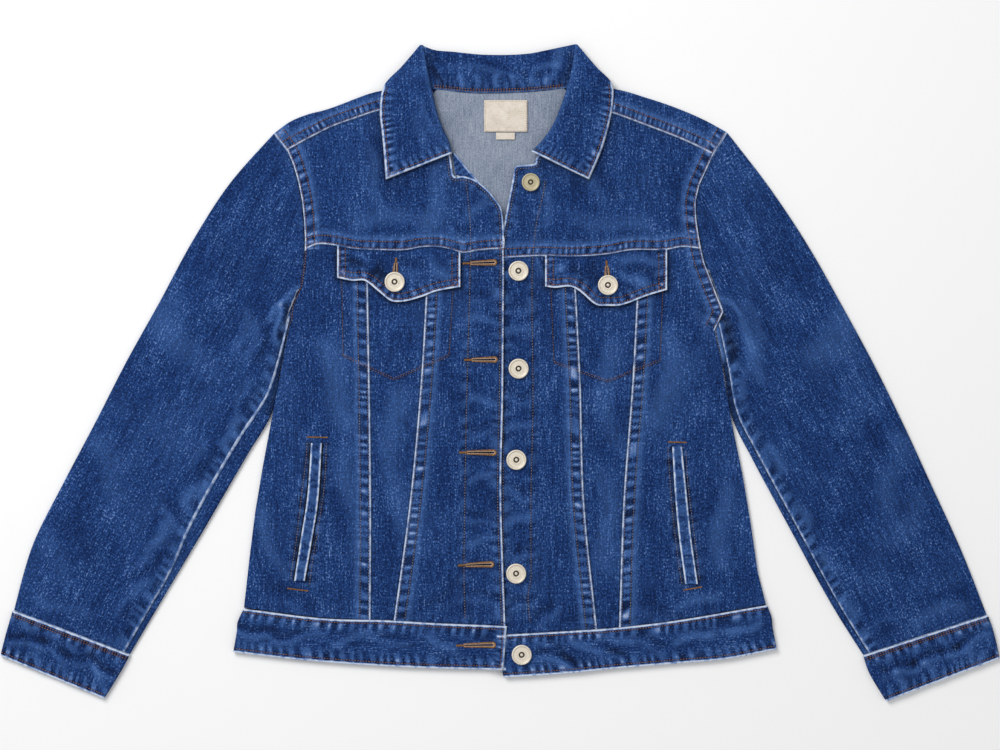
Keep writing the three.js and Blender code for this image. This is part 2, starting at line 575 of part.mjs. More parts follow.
// Fold between a lower and an upper layer of cloth: how far in from the outline a point of the fold lies,
// and how high, at an angle from -90 at the lower layer to 90 at the upper one
function foldPoint(lowLevel, highLevel, thickness, angle, isOuter) {
  const radius = (highLevel - lowLevel) / 2;
  const reach = radius + (isOuter ? thickness / 2 : -thickness / 2);
  return {
    from: radius + thickness / 2 - Math.cos(angle) * reach,
    z: (lowLevel + highLevel) / 2 + Math.sin(angle) * reach,
  };
}
const FOLD_ANGLES = [60, 20, -20, -60].map(degToRad);

// Sleeves: a top piece round the outer edge and an under piece round the inner edge
function addSleeve(side) {
  const sections = SLEEVE[side];
  const underArm = polyline(ARMHOLE[side]);
  const body = ruled(sections);
  const area = patch({
    top: underArm,
    bottom: (u) => body.at(u, 1),
    left: spline(sections, "outerX", "outerY"),
    right: spline(sections, "innerX", "innerY"),
  });
  const along = sections.map((row, i) => ({ t: i / (sections.length - 1), ...row }));
  const heightAt = over(along, "t", "height");
  const inseamAt = over(along, "t", "inseam");
  const rows = shares(Array.from({ length: 9 }, (_, i) => i / 8));
  const inseamU = (v) => 1 - inseamAt(v) / area.width(v);
  const level = (u, v) => {
    const { x, y } = area.at(u, v);
    const round = lerp(0.62, 1, Math.min(1, 4 * u * (1 - u) * 1.6));
    const free = (heightAt(v) - CLOTH / 2) * round + foldHeight(x, y) * smoothstep(v, 0.04, 0.2);
    return lerp(frontRest(x, y) + CLOTH / 2, free, smoothstep(v, 0, 0.12));
  };
  const place = (column, row, isOuter) => {
    const v = row.at(area.height(0.5));
    const width = area.width(v);
    const half = isOuter ? CLOTH / 2 : -CLOTH / 2;
    const edgeU = column.edge === "inner" || column.inseam !== undefined || column.u > 0.5 ? 1 : 0;
    const edgeLevel = level(edgeU, v);
    const start = (edgeLevel - CLOTH / 2) / 2 + CLOTH / 2;
    const clamp = (u) => Math.min(Math.max(u, start / width), 1 - start / width);
    if (column.run === "fold") {
      const { from, z } = foldPoint(CLOTH / 2, edgeLevel, CLOTH, column.angle, isOuter);
      const u = edgeU ? 1 - from / width : from / width;
      return { ...area.at(u, v), z };
    }
    const squeeze = column.run === "over" && column.edge !== "inner" ? inseamU(v) / inseamU(0) : 1;
    const u = clamp(column.inseam === undefined ? column.u * squeeze : inseamU(v) - column.inseam / width);
    if (column.run === "under") return { ...area.at(u, v), z: CLOTH / 2 - half };
    return { ...area.at(u, v), z: lerp(edgeLevel, level(u, v), smoothstep(Math.min(u, 1 - u) * width, start, start + 12)) + half };
  };
  const last = ARMHOLE[side].length - 1;
  const steps = (from, to) => Array.from({ length: Math.abs(to - from) + 1 }, (_, i) => (from + Math.sign(to - from) * i) / last);
  const seam = UNDER_SEAM / last;
  const topColumns = [
    { run: "over", inseam: GAP / 2 },
    ...steps(last - 1, 1).map((u) => ({ run: "over", u })),
    { run: "over", u: 0 },
    ...FOLD_ANGLES.map((angle) => ({ run: "fold", edge: "outer", angle })),
    { run: "under", u: 0 },
    ...steps(1, UNDER_SEAM - 1).map((u) => ({ run: "under", u })),
    { run: "under", u: seam - 0.001 },
  ];
  const underColumns = [
    { run: "over", inseam: -GAP / 2, edge: "inner" },
    { run: "over", u: 1, edge: "inner" },
    ...FOLD_ANGLES.map((angle) => ({ run: "fold", edge: "inner", angle })),
    { run: "under", u: 1, edge: "inner" },
    ...steps(last - 1, UNDER_SEAM + 1).map((u) => ({ run: "under", u, edge: "inner" })),
    { run: "under", u: seam + 0.001, edge: "inner" },
  ];
  add(`sleeve_top_${side}`, wall(topColumns, rows, place), DENIM);
  add(`sleeve_under_${side}`, wall(underColumns, rows, place), DENIM);
}

// Cuff: a band round the sleeve's end, its ends meeting on the underside
function addCuff(side) {
  const area = ruled(CUFFS[side]);
  const level = CUFF * 1.5 + GAP;
  const over = (u) => ({ run: "over", u });
  const under = (u) => ({ run: "under", u });
  const folds = (edge, angles) => angles.map((angle) => ({ run: "fold", edge, angle }));
  const columns = [under(0.502), under(0.75), under(1), ...folds("inner", [...FOLD_ANGLES].reverse()),
    over(1), over(0.8), over(0.6), over(0.4), over(0.2), over(0), ...folds("outer", FOLD_ANGLES), under(0), under(0.25), under(0.498)];
  add(`cuff_${side}`, wall(columns, places({ steps: 4 }), (column, row, isOuter) => {
    const v = row.at(area.height(0.5));
    const width = area.width(v);
    const half = isOuter ? CUFF / 2 : -CUFF / 2;
    const start = (level - CUFF / 2) / 2 + CUFF / 2;
    if (column.run === "fold") {
      const { from, z } = foldPoint(CUFF / 2, level, CUFF, column.angle, isOuter);
      return { ...area.at(column.edge === "inner" ? 1 - from / width : from / width, v), z };
    }
    const u = Math.min(Math.max(column.u, start / width), 1 - start / width);
    return { ...area.at(u, v), z: column.run === "under" ? CUFF / 2 - half : level + half };
  }), DENIM);
}

// Waistband: one band from the right front end, round the back, to the left front end
function addWaistband() {
  const front = (side) => patch({
    top: across(HEM_TOP[side], HEM_SIDE[side][0].x, HEM_END[side][0].x),
    bottom: across(HEM_BOTTOM[side], HEM_SIDE[side].at(-1).x, HEM_END[side].at(-1).x),
    left: spline(HEM_SIDE[side]),
    right: spline(HEM_END[side]),
  });
  const back = patch({
    top: across(HEM_TOP.back, HEM_SIDE.r[0].x, HEM_SIDE.l[0].x),
    bottom: across(HEM_BOTTOM.back, HEM_SIDE.r.at(-1).x, HEM_SIDE.l.at(-1).x),
    left: spline(HEM_SIDE.r),
    right: spline(HEM_SIDE.l),
  });
  const areas = { r: front("r"), l: front("l"), back };
  const low = BAND / 2;
  const high = BAND * 1.5 + GAP;
  const run = (area, list) => list.map((u) => ({ area, u }));
  const folds = (area, angles) => angles.map((angle) => ({ area, angle }));
  const columns = [
    ...run("r", [0.999, 0.97, 0.9, 0.75, 0.6, 0.45, 0.3, 0.15, 0]),
    ...folds("r", FOLD_ANGLES),
    ...run("back", [0, 0.1, 0.2, 0.3, 0.4, 0.5, 0.6, 0.7, 0.8, 0.9, 1]),
    ...folds("l", [...FOLD_ANGLES].reverse()),
    ...run("l", [0, 0.15, 0.3, 0.45, 0.6, 0.75, 0.9, 0.999]),
  ];
  add("waistband", wall(columns, places({ steps: 3 }), (column, row, isOuter) => {
    const area = areas[column.area];
    const v = row.at(area.height(0.5));
    const width = area.width(v);
    const start = (high - low) / 2 + BAND / 2;
    if (column.angle !== undefined) {
      const { from, z } = foldPoint(low, high, BAND, column.angle, isOuter);
      return { ...area.at(from / width, v), z };
    }
    const half = isOuter ? BAND / 2 : -BAND / 2;
    if (column.area === "back") {
      const u = Math.min(Math.max(column.u, start / width), 1 - start / width);
      return { ...area.at(u, v), z: low - half };
    }
    const u = Math.max(column.u, start / width);
    const { x, y } = area.at(u, v);
    const lap = column.area === "r" ? (BAND + GAP) * smoothstep(x, -14, -4) : 0;
    return { x, y, z: high + half + lap };
  }), DENIM);
}

// Collar: stand and fall in one body, its back half folded behind the neck
function addCollar() {
  const underFall = quad(COLLAR_TOP, UNDER_FALL, COLLAR_SLOPE.r, COLLAR_SLOPE.l);
  const inner = table("from", [0.4]);
  const hidden = sheet(underFall, places({ first: inner, steps: 6, last: inner }),
    places({ first: inner, steps: 1, last: inner }), () => 0, () => COLLAR);
  const backStand = quad(COLLAR_TOP, NECK_WIDE, STAND_SIDE.r, STAND_SIDE.l);
  const topRoll = table("from", [0], [ROLL_WIDTH], [ROLL_WIDTH + FELL_STEP]);
  const standLow = COLLAR + GAP;
  const back = wall(places({ steps: 8 }), places({ first: topRoll, steps: 2 }).map((row, i) => ({ ...row, i })),
    (column, row, isTop) => {
      const v = row.at(backStand.height(0.5));
      const low = row.i < 2 ? 1 : standLow;
      const edgeDrop = row.i === 0 ? 0.8 : 0;
      return { ...backStand.at(column.at(backStand.width(v)), v), z: isTop ? standLow + COLLAR - edgeDrop : low };
    });
  add("collar", joined(hidden, back, ...["r", "l"].flatMap((side) => [fall(side), frontStand(side)])), DENIM);
}
const NECK_WIDE = [{ x: -70, y: 241.6 }, ...NECK, { x: 70, y: 242.4 }].map(({ x, y }) => ({ x, y: y + GAP }));
const collarRest = (x, y) =>
  lerp(frontRest(x, Math.min(y, 240)) + LAP_RISE, COLLAR + GAP, smoothstep(y, 246, 266));

// Stand of the collar under a front fall, along the roll edge
function frontStand(side) {
  const sections = FALL[side].slice(1).map(({ innerX, innerY }) => {
    const out = side === "r" ? -1 : 1;
    return { outerX: innerX + out * STAND_WIDTH, outerY: innerY, innerX: innerX + out * 0.4, innerY };
  });
  const area = ruled(sections);
  return sheet(area, places({ steps: 2 }), shares([0, 0.15, 0.3, 0.55, 0.8, 0.97]), collarRest,
    (x, y) => collarRest(x, y) + STAND);
}

// Front fall: it lies on its stand and on the yoke, and is carried round to the back along its upper outer edge
function fall(side) {
  const sections = FALL[side];
  const area = ruled(sections);
  const fold = FOLD_ROW / (sections.length - 1);
  const list = [0, 0.12, 0.24, fold - 0.004, fold + 0.004, 0.45, 0.6, 0.8, 1];
  const rows = shares(list).map((row, i) => ({ ...row, isFold: i < 4 }));
  const roll = table("from", [0], [ROLL_WIDTH], [ROLL_WIDTH + FELL_STEP]);
  const columns = places({ first: roll, steps: 4, last: roll }).map((column, i, all) => ({
    ...column, isOuter: i < 2, isRoll: i > all.length - 3, isRim: i === 0 || i === all.length - 1,
  }));
  return wall(columns, rows, (column, row, isTop) => {
    const v = row.at(area.height(0.5));
    const width = area.width(v);
    const u = width > 4 * ROLL_WIDTH ? column.at(width) : columns.indexOf(column) / (columns.length - 1);
    const { x, y } = area.at(u, v);
    const lifted = (STAND + GAP) * (1 - smoothstep((1 - u) * width, STAND_WIDTH, STAND_WIDTH + 14));
    const rest = collarRest(x, y) + lifted;
    if (isTop) return { x, y, z: rest + COLLAR - (column.isRim ? 0.6 : 0) };
    const carries = (column.isOuter && row.isFold) || (column.isRoll && v < 0.96);
    const depth = column.isOuter && row.isFold ? 1 : collarRest(x, y) + STAND / 2;
    return { x, y, z: carries ? depth : rest };
  });
}

// Shank button: a dished disc with a raised rim
function addButton(name, { x, y }, seat) {
  const profile = [[0, 0], [BUTTON_RADIUS, 0], [BUTTON_RADIUS, BUTTON_HEIGHT - 0.5],
    [BUTTON_RADIUS - RIM_WIDTH, BUTTON_HEIGHT], [BUTTON_RADIUS - RIM_WIDTH - 0.5, BUTTON_HEIGHT - DISH_DEPTH],
    [0, BUTTON_HEIGHT - DISH_DEPTH]];
  const geometry = new THREE.LatheGeometry(profile.map(([r, h]) => new THREE.Vector2(r, h)), 12);
  geometry.rotateX(Math.PI / 2);
  geometry.translate(x, y, seat + GAP);
  add(name, sealed(geometry), BUTTON_METAL);
}

// Label sewn inside the back yoke, and its small tab
function addLabel(name, { left, right, top, bottom }) {
  const corners = { y0: top, y1: bottom };
  const area = patch({
    top: (t) => ({ x: lerp(left, right, t), y: corners.y0 }),
    bottom: (t) => ({ x: lerp(left, right, t), y: corners.y1 }),
    left: (t) => ({ x: left, y: lerp(corners.y0, corners.y1, t) }),
    right: (t) => ({ x: right, y: lerp(corners.y0, corners.y1, t) }),
  });
  const lower = (x, y) => neckLift(x, y) + CLOTH + GAP;
  add(name, sheet(area, places({ steps: 1 }), places({ steps: 6 }), lower, (x, y) => lower(x, y) + LABEL), LABEL_CLOTH);
}

addBack();
["r", "l"].forEach(addFront);
addFacing();
["r", "l"].forEach(addFlap);
["r", "l"].forEach(addWelt);
addWaistband();
["r", "l"].forEach(addSleeve);
["r", "l"].forEach(addCuff);
addCollar();
FRONT_BUTTONS.forEach((button, i) => {
  const isOnBand = i === FRONT_BUTTONS.length - 1;
  const seat = isOnBand ? 2 * BAND + GAP : frontRest(button.x, button.y) + CLOTH + FELL_RISE;
  addButton(`button_${i + 1}`, button, seat);
});
["r", "l"].forEach((side) => {
  const button = FLAP_BUTTONS[side];
  addButton(`flap_button_${side}`, button, frontRest(button.x, button.y) + LAP_RISE + FLAP);
});
addLabel("neck_label", NECK_LABEL);
addLabel("size_tab", SIZE_TAB);

export default jacket;
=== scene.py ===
"""Denim jacket laid flat with its front up: cloth, felled seams, stitches, buttons, buttonholes and label."""

import logging
import math
from collections.abc import Callable, Sequence
from dataclasses import dataclass, field, replace
from enum import Enum

import bmesh
import bpy
import numpy as np
from mathutils import Matrix, Vector
from mathutils.bvhtree import BVHTree


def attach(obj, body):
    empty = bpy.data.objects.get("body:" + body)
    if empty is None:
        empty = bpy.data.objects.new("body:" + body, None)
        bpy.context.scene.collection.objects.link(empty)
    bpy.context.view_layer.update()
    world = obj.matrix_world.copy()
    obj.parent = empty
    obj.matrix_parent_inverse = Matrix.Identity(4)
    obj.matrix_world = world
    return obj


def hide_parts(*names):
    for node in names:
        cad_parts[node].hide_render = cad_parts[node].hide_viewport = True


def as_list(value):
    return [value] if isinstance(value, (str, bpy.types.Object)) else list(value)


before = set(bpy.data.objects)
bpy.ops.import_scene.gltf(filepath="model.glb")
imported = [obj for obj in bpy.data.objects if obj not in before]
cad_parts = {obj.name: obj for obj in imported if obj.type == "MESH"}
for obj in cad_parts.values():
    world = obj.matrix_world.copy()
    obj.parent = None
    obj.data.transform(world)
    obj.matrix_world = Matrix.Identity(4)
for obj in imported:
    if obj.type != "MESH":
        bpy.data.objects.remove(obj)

log = logging.getLogger("jacket")

MM = 0.001

# Size of a picture point in millimetres, and the point over the frame's origin
POINT_SIZE = 0.85
PICTURE_MIDDLE = (500, 373)
Array = np.ndarray
Rows = Sequence[tuple[float, ...]]
Line = Callable[[Array], Array]
Height = Callable[[Array, Array], Array]

# Cloth, in millimetres
CLOTH = 1.2
GAP = 0.3
FELL_RISE = 0.7
FLAP = 1.6
WELT = 1.2
BAND = 2.4
CUFF = 2.2
COLLAR = 2.2
STAND = 1.6
LABEL = 1.0
BACK_TOP = CLOTH
FRONT_REST = BACK_TOP + GAP
PUFF = 1.6
PUFF_SHOULDER = 0.4
HEM_PUFF = BAND - BACK_TOP + 0.1
NECK_LIFT = COLLAR + GAP
LAP_RISE = CLOTH + FELL_RISE + GAP
PLACKET_WIDTH = 30.0
CENTRE_LAP = 12.0
LAP_FULL = -4.5
STAND_WIDTH = 16.0


class Side(Enum):
    """The wearer's side. The right one lies at -X."""

    RIGHT = "r"
    LEFT = "l"

    @property
    def out(self) -> int:
        """Direction of X away from the middle."""
        return -1 if self is Side.RIGHT else 1


# Armholes, from the shoulder to the underarm
ARMHOLE = {
    Side.RIGHT: [(-192.1, 204), (-186.6, 196.8), (-181.1, 189.6), (-176, 177.7), (-171.7, 163.2),
                 (-168.3, 146.2), (-166.6, 130.1), (-165.8, 113.9), (-166, 105), (-167, 92), (-169.5, 74.5),
                 (-177.2, 57.8), (-178.5, 42.5)],
    Side.LEFT: [(193, 204.9), (187.3, 195.4), (181.6, 186), (175, 171.5), (169.6, 159.8), (166.2, 145),
                (167, 130), (169.4, 114), (170.9, 106), (173.5, 94.5), (182.8, 70.6), (190, 52), (182.5, 36.5)],
}
FORWARD_SEAM = 2
YOKE_SEAM = 8
UNDER_SEAM = 4

# Side edges of the body, from the underarm to the waistband
SIDE = {
    Side.RIGHT: [(-178.5, 42.5), (-182.8, 21.3), (-188.7, -10.2), (-193.8, -36.6), (-201.5, -77.4),
                 (-208.3, -118.2), (-213.4, -159), (-217.8, -199.6)],
    Side.LEFT: [(182.5, 36.5), (187.9, 12.8), (192.5, -14), (198.1, -46.8), (206.6, -87.6), (213.4, -128.4),
                (219.3, -169.2), (226.2, -197)],
}

# Sleeve sections from the armhole to the cuff: outer edge, inner edge, height, inseam from the inner edge
SLEEVE = {
    Side.RIGHT: [(-192.1, 204, -179.3, 42.5, 3.2, 5), (-230.4, 160.6, -186.5, 3.9, 4.4, 8),
                 (-262, 111.6, -194.2, -34.2, 5, 14.5), (-289.8, 60.1, -214.3, -68.7, 5.2, 16.6),
                 (-318, 9.4, -234.2, -102.8, 5.4, 15.8), (-344.4, -42.3, -254, -136.9, 5.2, 13),
                 (-371.9, -94.5, -274.2, -170.7, 5, 6.5), (-397.6, -146.5, -294.3, -204.5, 4.8, 5.5),
                 (-413.6, -202, -314.9, -239.4, 4.6, 5)],
    Side.LEFT: [(193, 204.9, 183.4, 36.5, 3.2, 5), (228.6, 158.7, 191, -1.1, 4.4, 5),
                (261, 110, 197.6, -38.5, 5, 5), (290, 59, 214.6, -73.1, 5.2, 5),
                (317.8, 7.7, 232.6, -106.7, 5.4, 5), (343.8, -45, 250.8, -140.2, 5.2, 5),
                (368.2, -98, 268.9, -173.7, 5, 5), (392.7, -151.6, 287.9, -206.7, 4.8, 5),
                (414, -205.7, 309, -239.8, 4.6, 5)],
}
CUFFS = {
    Side.RIGHT: [(-414.3, -201.7, -314.6, -239.5), (-419.1, -217.6, -320, -249.8),
                 (-422.4, -230, -327.8, -263), (-425, -240.4, -336.6, -277)],
    Side.LEFT: [(414.7, -205.5, 308.7, -239.9), (419.1, -217.6, 313.5, -254),
                (422.3, -230, 320.5, -266.5), (425, -242.6, 328.4, -279.2)],
}

# Cross seams, each as a height over x
FORWARD = {
    Side.RIGHT: [(-181.1, 189.6), (-170.9, 195.1), (-157.3, 202.3), (-143.7, 209.1), (-122.4, 216.8),
                 (-103.7, 222.7), (-60, 232)],
    Side.LEFT: [(58, 232), (96.1, 220.6), (117.3, 213), (133.5, 207), (150.5, 200.4), (165, 194),
                (181.6, 186)],
}
SHOULDER = {
    Side.RIGHT: [(-192.1, 204), (-179.4, 213.4), (-163.2, 220.2), (-149.6, 223.6), (-102, 239.7),
                 (-80, 240.6), (-57, 241.2)],
    Side.LEFT: [(57, 242), (80, 242.2), (96.1, 241.6), (125.8, 233.8), (153, 224.4), (174.3, 215.1),
                (193, 204.9)],
}
NECK = [(-57, 241.2), (-23.8, 238), (24.7, 238.9), (57, 242)]
NECK_WIDE = [(x, y + GAP) for x, y in [(-70, 241.6), *NECK, (70, 242.4)]]
YOKE = {
    Side.RIGHT: [(-166, 105), (-156.1, 109.4), (-141.3, 108.6), (-125, 105.4), (-100.6, 104.3), (-80.2, 104.3),
                 (-66.7, 106.8), (-53.1, 107), (-42.5, 105), (-31.5, 102), (-19.3, 104), (3.8, 105.7)],
    Side.LEFT: [(-0.5, 97.8), (36.4, 99.4), (60.8, 98.7), (90.6, 100.7), (110.9, 104.2), (142.1, 104.8),
                (154.3, 107.3), (170.9, 105.8)],
}
BACK_YOKE = [(-166, 105), (170.9, 106)]
HEM_TOP = {
    Side.RIGHT: [(-217.9, -200.3), (-149.2, -208.6), (-96.1, -210.2), (-51, -212.8), (6, -214.8)],
    Side.LEFT: [(-1, -222.6), (58.2, -219.3), (95.2, -216.8), (144.5, -211.1), (227, -197.2)],
}
HEM_TOP_BACK = [(-217.9, -200.3), (-80, -207), (80, -206), (227, -197.2)]
HEM_BOTTOM = {
    Side.RIGHT: [(-227, -237.4), (-170, -244), (-128.4, -247.4), (-68, -250.8), (4, -252.4)],
    Side.LEFT: [(1, -259), (51, -255.9), (95.2, -251.6), (144.5, -247.4), (191.3, -243.4), (235.5, -235)],
}
HEM_BOTTOM_BACK = [(-227, -237.4), (-80, -246), (80, -246), (235.5, -235)]
HEM_SIDE = {
    Side.RIGHT: [(-217.9, -200.3), (-223.2, -211.7), (-224, -220.5), (-227, -237.4)],
    Side.LEFT: [(227, -197.2), (230.9, -207.4), (232, -217), (235.5, -235)],
}
HEM_END = {
    Side.RIGHT: [(6, -214.8), (4.8, -226), (4, -239.7), (2.2, -252.4)],
    Side.LEFT: [(0.5, -222.6), (0.2, -235), (0.6, -248), (3, -259)],
}

# Long seams of the fronts, each as an x over y
WEDGE_OUTER = {
    Side.RIGHT: [(-113, 108), (-112.2, 70.6), (-109.7, -108), (-110.1, -212)],
    Side.LEFT: [(118.2, 106), (112.6, -6), (105, -108), (101.2, -218)],
}
WEDGE_INNER = {
    Side.RIGHT: [(-60.8, 109), (-67.2, -6), (-76.5, -108), (-90.5, -213)],
    Side.LEFT: [(62.9, 101), (68.4, -6), (71.4, -108), (82.5, -219)],
}
FRONT_EDGE = {
    Side.RIGHT: [(3.4, 112), (3.4, 76.5), (2.6, -24.7), (1.1, -98.6), (2.6, -159), (4.7, -216)],
    Side.LEFT: [(-0.5, 112), (-0.5, -224)],
}
NECKLINE = {
    Side.RIGHT: [(-60, 232), (-53, 212), (-44.5, 192), (-41.5, 181), (-40, 169.4), (-37.5, 166.8),
                 (-30.5, 167.4), (-20.5, 164), (-10.2, 155.6), (0.9, 141.1), (3, 129), (3.4, 118), (3.8, 106)],
    Side.LEFT: [(58, 232), (53, 216), (44, 201), (36, 190), (30.5, 182.5), (28.9, 177.7), (12.8, 176),
                (10.8, 166), (8.5, 153.9), (6, 141.1), (3.6, 128), (0.6, 112), (-0.5, 97.8)],
}
FACING_OUTER = [(-41, 187), (-38.5, 172), (-35, 150), (-33.5, 128), (-33, 108)]
FACING_INNER = [(-38.6, 187.4), (-25.5, 171.3), (-10, 154), (0, 137), (1.4, 108)]

# Collar falls from the tip to the free edge: outer edge and roll edge
FALL = {
    Side.RIGHT: [(-68.2, 278.4, -65.2, 278.6), (-83, 261, -62.2, 262), (-98.6, 243.6, -58.5, 244),
                 (-102, 222, -53.5, 222), (-100.5, 205, -48.5, 208), (-98.8, 187, -43, 196),
                 (-97, 164.2, -40.8, 186.2)],
    Side.LEFT: [(66, 278.8, 63.6, 279.4), (81, 261, 61.5, 262), (94.8, 246, 58, 246.5),
                (96, 230, 52.5, 229), (93.4, 214, 45.5, 212), (87, 191, 36.5, 198.4),
                (75.7, 164.1, 26.4, 187.9)],
}
FOLD_ROW = 2
COLLAR_TOP = [(-67.2, 278.8), (-55.3, 274.6), (-40.8, 273.2), (-12.8, 270.6), (24.7, 271.6), (38.3, 274.2),
              (64.6, 279.7)]
UNDER_FALL = [(-98.6, 242), (-60, 227), (60, 227), (94.8, 244.6)]
COLLAR_SLOPE = {
    Side.RIGHT: [(-67.2, 278.8), (-98.6, 242.3)],
    Side.LEFT: [(64.6, 279.7), (94.8, 245)],
}
STAND_SIDE = {
    Side.RIGHT: [(-66.6, 279), (-61.5, 240)],
    Side.LEFT: [(64.8, 280), (61, 240)],
}

# Pocket flaps: bottom outline over x
FLAPS = {
    Side.RIGHT: [(-138.4, 80.8), (-125, 78.2), (-114.8, 78.2), (-103.7, 69.7), (-92.7, 61.2),
                 (-83.3, 60.4), (-66.3, 64.6), (-55.3, 68.9), (-33.6, 73.1)],
    Side.LEFT: [(38.2, 73.4), (46.3, 72.3), (60.4, 73.1), (67.2, 69.7), (81.6, 57.8), (90.5, 57),
                (102, 57.3), (125, 65.5), (142, 70.6)],
}
WELTS = {
    Side.RIGHT: [(-160.7, -59.5, -151.3, -59.5), (-163.8, -104, -154.4, -108), (-169.3, -140, -160.2, -145),
                 (-175.1, -176.8, -165.8, -176.8)],
    Side.LEFT: [(154.7, -62.5, 146.2, -62.5), (158.6, -102, 148.8, -106), (162.6, -140, 152.2, -142),
                (168.3, -179.4, 157.3, -179.4)],
}
FRONT_BUTTONS = [(26.1, 162), (15.7, 86.7), (15.8, 3.7), (13.9, -73.7), (13.7, -170.3), (18.4, -239.3)]
FLAP_BUTTONS = {Side.RIGHT: (-89.4, 77.3), Side.LEFT: (91.6, 74.6)}
NECK_LABEL = (-13.6, 23.4, 232, 204.9)
SIZE_TAB = (-3.4, 12.8, 204.5, 198.5)

# Largest folds: the line along the crest, its half width and its height
FOLDS = [
    (-262, 30, -205, 8, 15, 0.7), (-300, -28, -238, -62, 16, 0.7), (-352, -120, -300, -152, 15, 0.6),
    (-390, -178, -330, -214, 13, 0.6), (-215, 120, -190, 60, 14, 0.5), (258, 34, 204, 4, 15, 0.7),
    (306, -40, 236, -58, 16, 0.7), (350, -112, 292, -160, 15, 0.6), (392, -176, 326, -212, 13, 0.6),
    (214, 116, 203, 50, 14, 0.5),
]


def ease(value: Array | float, start: float, end: float) -> Array:
    """Smooth step from 0 at start to 1 at end.

    Args:
        value: Where to read the step.
        start: Value up to which the step is 0.
        end: Value from which the step is 1.

    Returns:
        The step at each value.
    """
    share = np.clip((np.asarray(value, dtype=float) - start) / (end - start), 0.0, 1.0)
    return share * share * (3.0 - 2.0 * share)


def mix(first: Array | float, second: Array | float, share: Array | float) -> Array:
    """Straight blend of two values."""
    return first + (second - first) * share


def over(rows: Rows, key: int = 0, value: int = 1) -> Callable[[Array], Array]:
    """Smooth value of one column of a table over another, level beyond its ends.

    Args:
        rows: The table.
        key: Column that the value is read over.
        value: Column that is read.

    Returns:
        A function of the key column.
    """
    ordered = sorted(rows, key=lambda row: row[key])
    at = np.array([row[key] for row in ordered], dtype=float)
    to = np.array([row[value] for row in ordered], dtype=float)
    last = len(at) - 1

    def evaluate(query: Array) -> Array:
        """Value at each place."""
        place = np.clip(np.asarray(query, dtype=float), at[0], at[-1])
        right = np.clip(np.searchsorted(at, place, side="right"), 1, last)
        left = right - 1
        before = np.where(left > 0, left - 1, right)
        after = np.where(right < last, right + 1, left)
        half = (at[right] - at[left]) / 2
        pull = half / (at[left] - at[before])
        push = half / (at[after] - at[right])
        p = (place - at[left]) / (at[right] - at[left])
        pp = p * p
        ppp = pp * p
        return (
            (-pull * ppp + 2 * pull * pp - pull * p) * to[before]
            + ((1 + pull) * ppp + (-1.5 - 2 * pull) * pp + (-0.5 + pull) * p + 1) * to[left]
            + ((-1 - push) * ppp + (1.5 + push) * pp + 0.5 * p) * to[right]
            + (push * ppp - push * pp) * to[after]
        )

    return evaluate


def points(rows: Rows, x: int = 0, y: int = 1) -> Array:
    """Points of a table, each as one complex number."""
    return np.array([complex(row[x], row[y]) for row in rows])


def polyline(rows: Rows) -> Line:
    """Straight line through a table's rows, with t from 0 to 1."""
    nodes = points(rows)
    places = np.arange(len(nodes))

    def at(t: Array) -> Array:
        """Point at each share of the way."""
        along = np.clip(t, 0, 1) * (len(nodes) - 1)
        return np.interp(along, places, nodes.real) + 1j * np.interp(along, places, nodes.imag)

    return at


def spline(rows: Rows, x: int = 0, y: int = 1) -> Line:
    """Smooth line through a table's rows, with t from 0 to 1."""
    nodes = points(rows, x, y)
    last = len(nodes) - 1

    def at(t: Array) -> Array:
        """Point at each share of the way."""
        along = np.clip(np.asarray(t, dtype=float), 0, 1) * last
        left = np.minimum(np.floor(along).astype(int), last - 1)
        p = along - left
        before = nodes[np.maximum(left - 1, 0)]
        start = nodes[left]
        end = nodes[left + 1]
        after = nodes[np.minimum(left + 2, last)]
        rise = (end - before) / 2
        fall = (after - start) / 2
        cubic = 2 * start - 2 * end + rise + fall
        square = 3 * end - 3 * start - 2 * rise - fall
        return cubic * p**3 + square * p**2 + rise * p + start

    return at


def across(rows: Rows, first: float, last: float) -> Line:
    """Line along a cross seam between two x values."""
    height = over(rows)
    return lambda t: mix(first, last, t) + 1j * height(mix(first, last, t))


def down(rows: Rows, first: float, last: float) -> Line:
    """Line down a long seam between two y values."""
    offset = over(rows, 1, 0)
    return lambda t: offset(mix(first, last, t)) + 1j * mix(first, last, t)


def meet(cross_rows: Rows, long_rows: Rows) -> complex:
    """Corner where a cross seam meets a long seam."""
    height = over(cross_rows)
    offset = over(long_rows, 1, 0)
    x = float(long_rows[0][0])
    for _ in range(12):
        x = float(offset(height(x)))
    return complex(x, float(height(x)))


@dataclass(frozen=True)
class Patch:
    """Patch of cloth between four lines: u runs from left to right, v from top to bottom."""

    top: Line
    bottom: Line
    left: Line
    right: Line

    def at(self, u: Array, v: Array) -> Array:
        """Point of the patch at each u and v."""
        zero = np.zeros(1)
        one = np.ones(1)
        upper = mix(self.top(zero), self.top(one), u)
        lower = mix(self.bottom(zero), self.bottom(one), u)
        return mix(self.top(u), self.bottom(u), v) + mix(self.left(v), self.right(v), u) - mix(upper, lower, v)

    def width(self, v: Array) -> Array:
        """Distance between the left and right lines."""
        return np.abs(self.right(v) - self.left(v))

    def height(self, u: float) -> float:
        """Distance between the top and bottom lines."""
        share = np.array([u])
        return float(np.abs(self.bottom(share) - self.top(share))[0])


def quad(top: Rows, bottom: Rows, left: Rows, right: Rows) -> Patch:
    """Patch between two cross seams and two long seams."""
    corners = [meet(top, left), meet(top, right), meet(bottom, left), meet(bottom, right)]
    return Patch(
        top=across(top, corners[0].real, corners[1].real),
        bottom=across(bottom, corners[2].real, corners[3].real),
        left=down(left, corners[0].imag, corners[2].imag),
        right=down(right, corners[1].imag, corners[3].imag),
    )


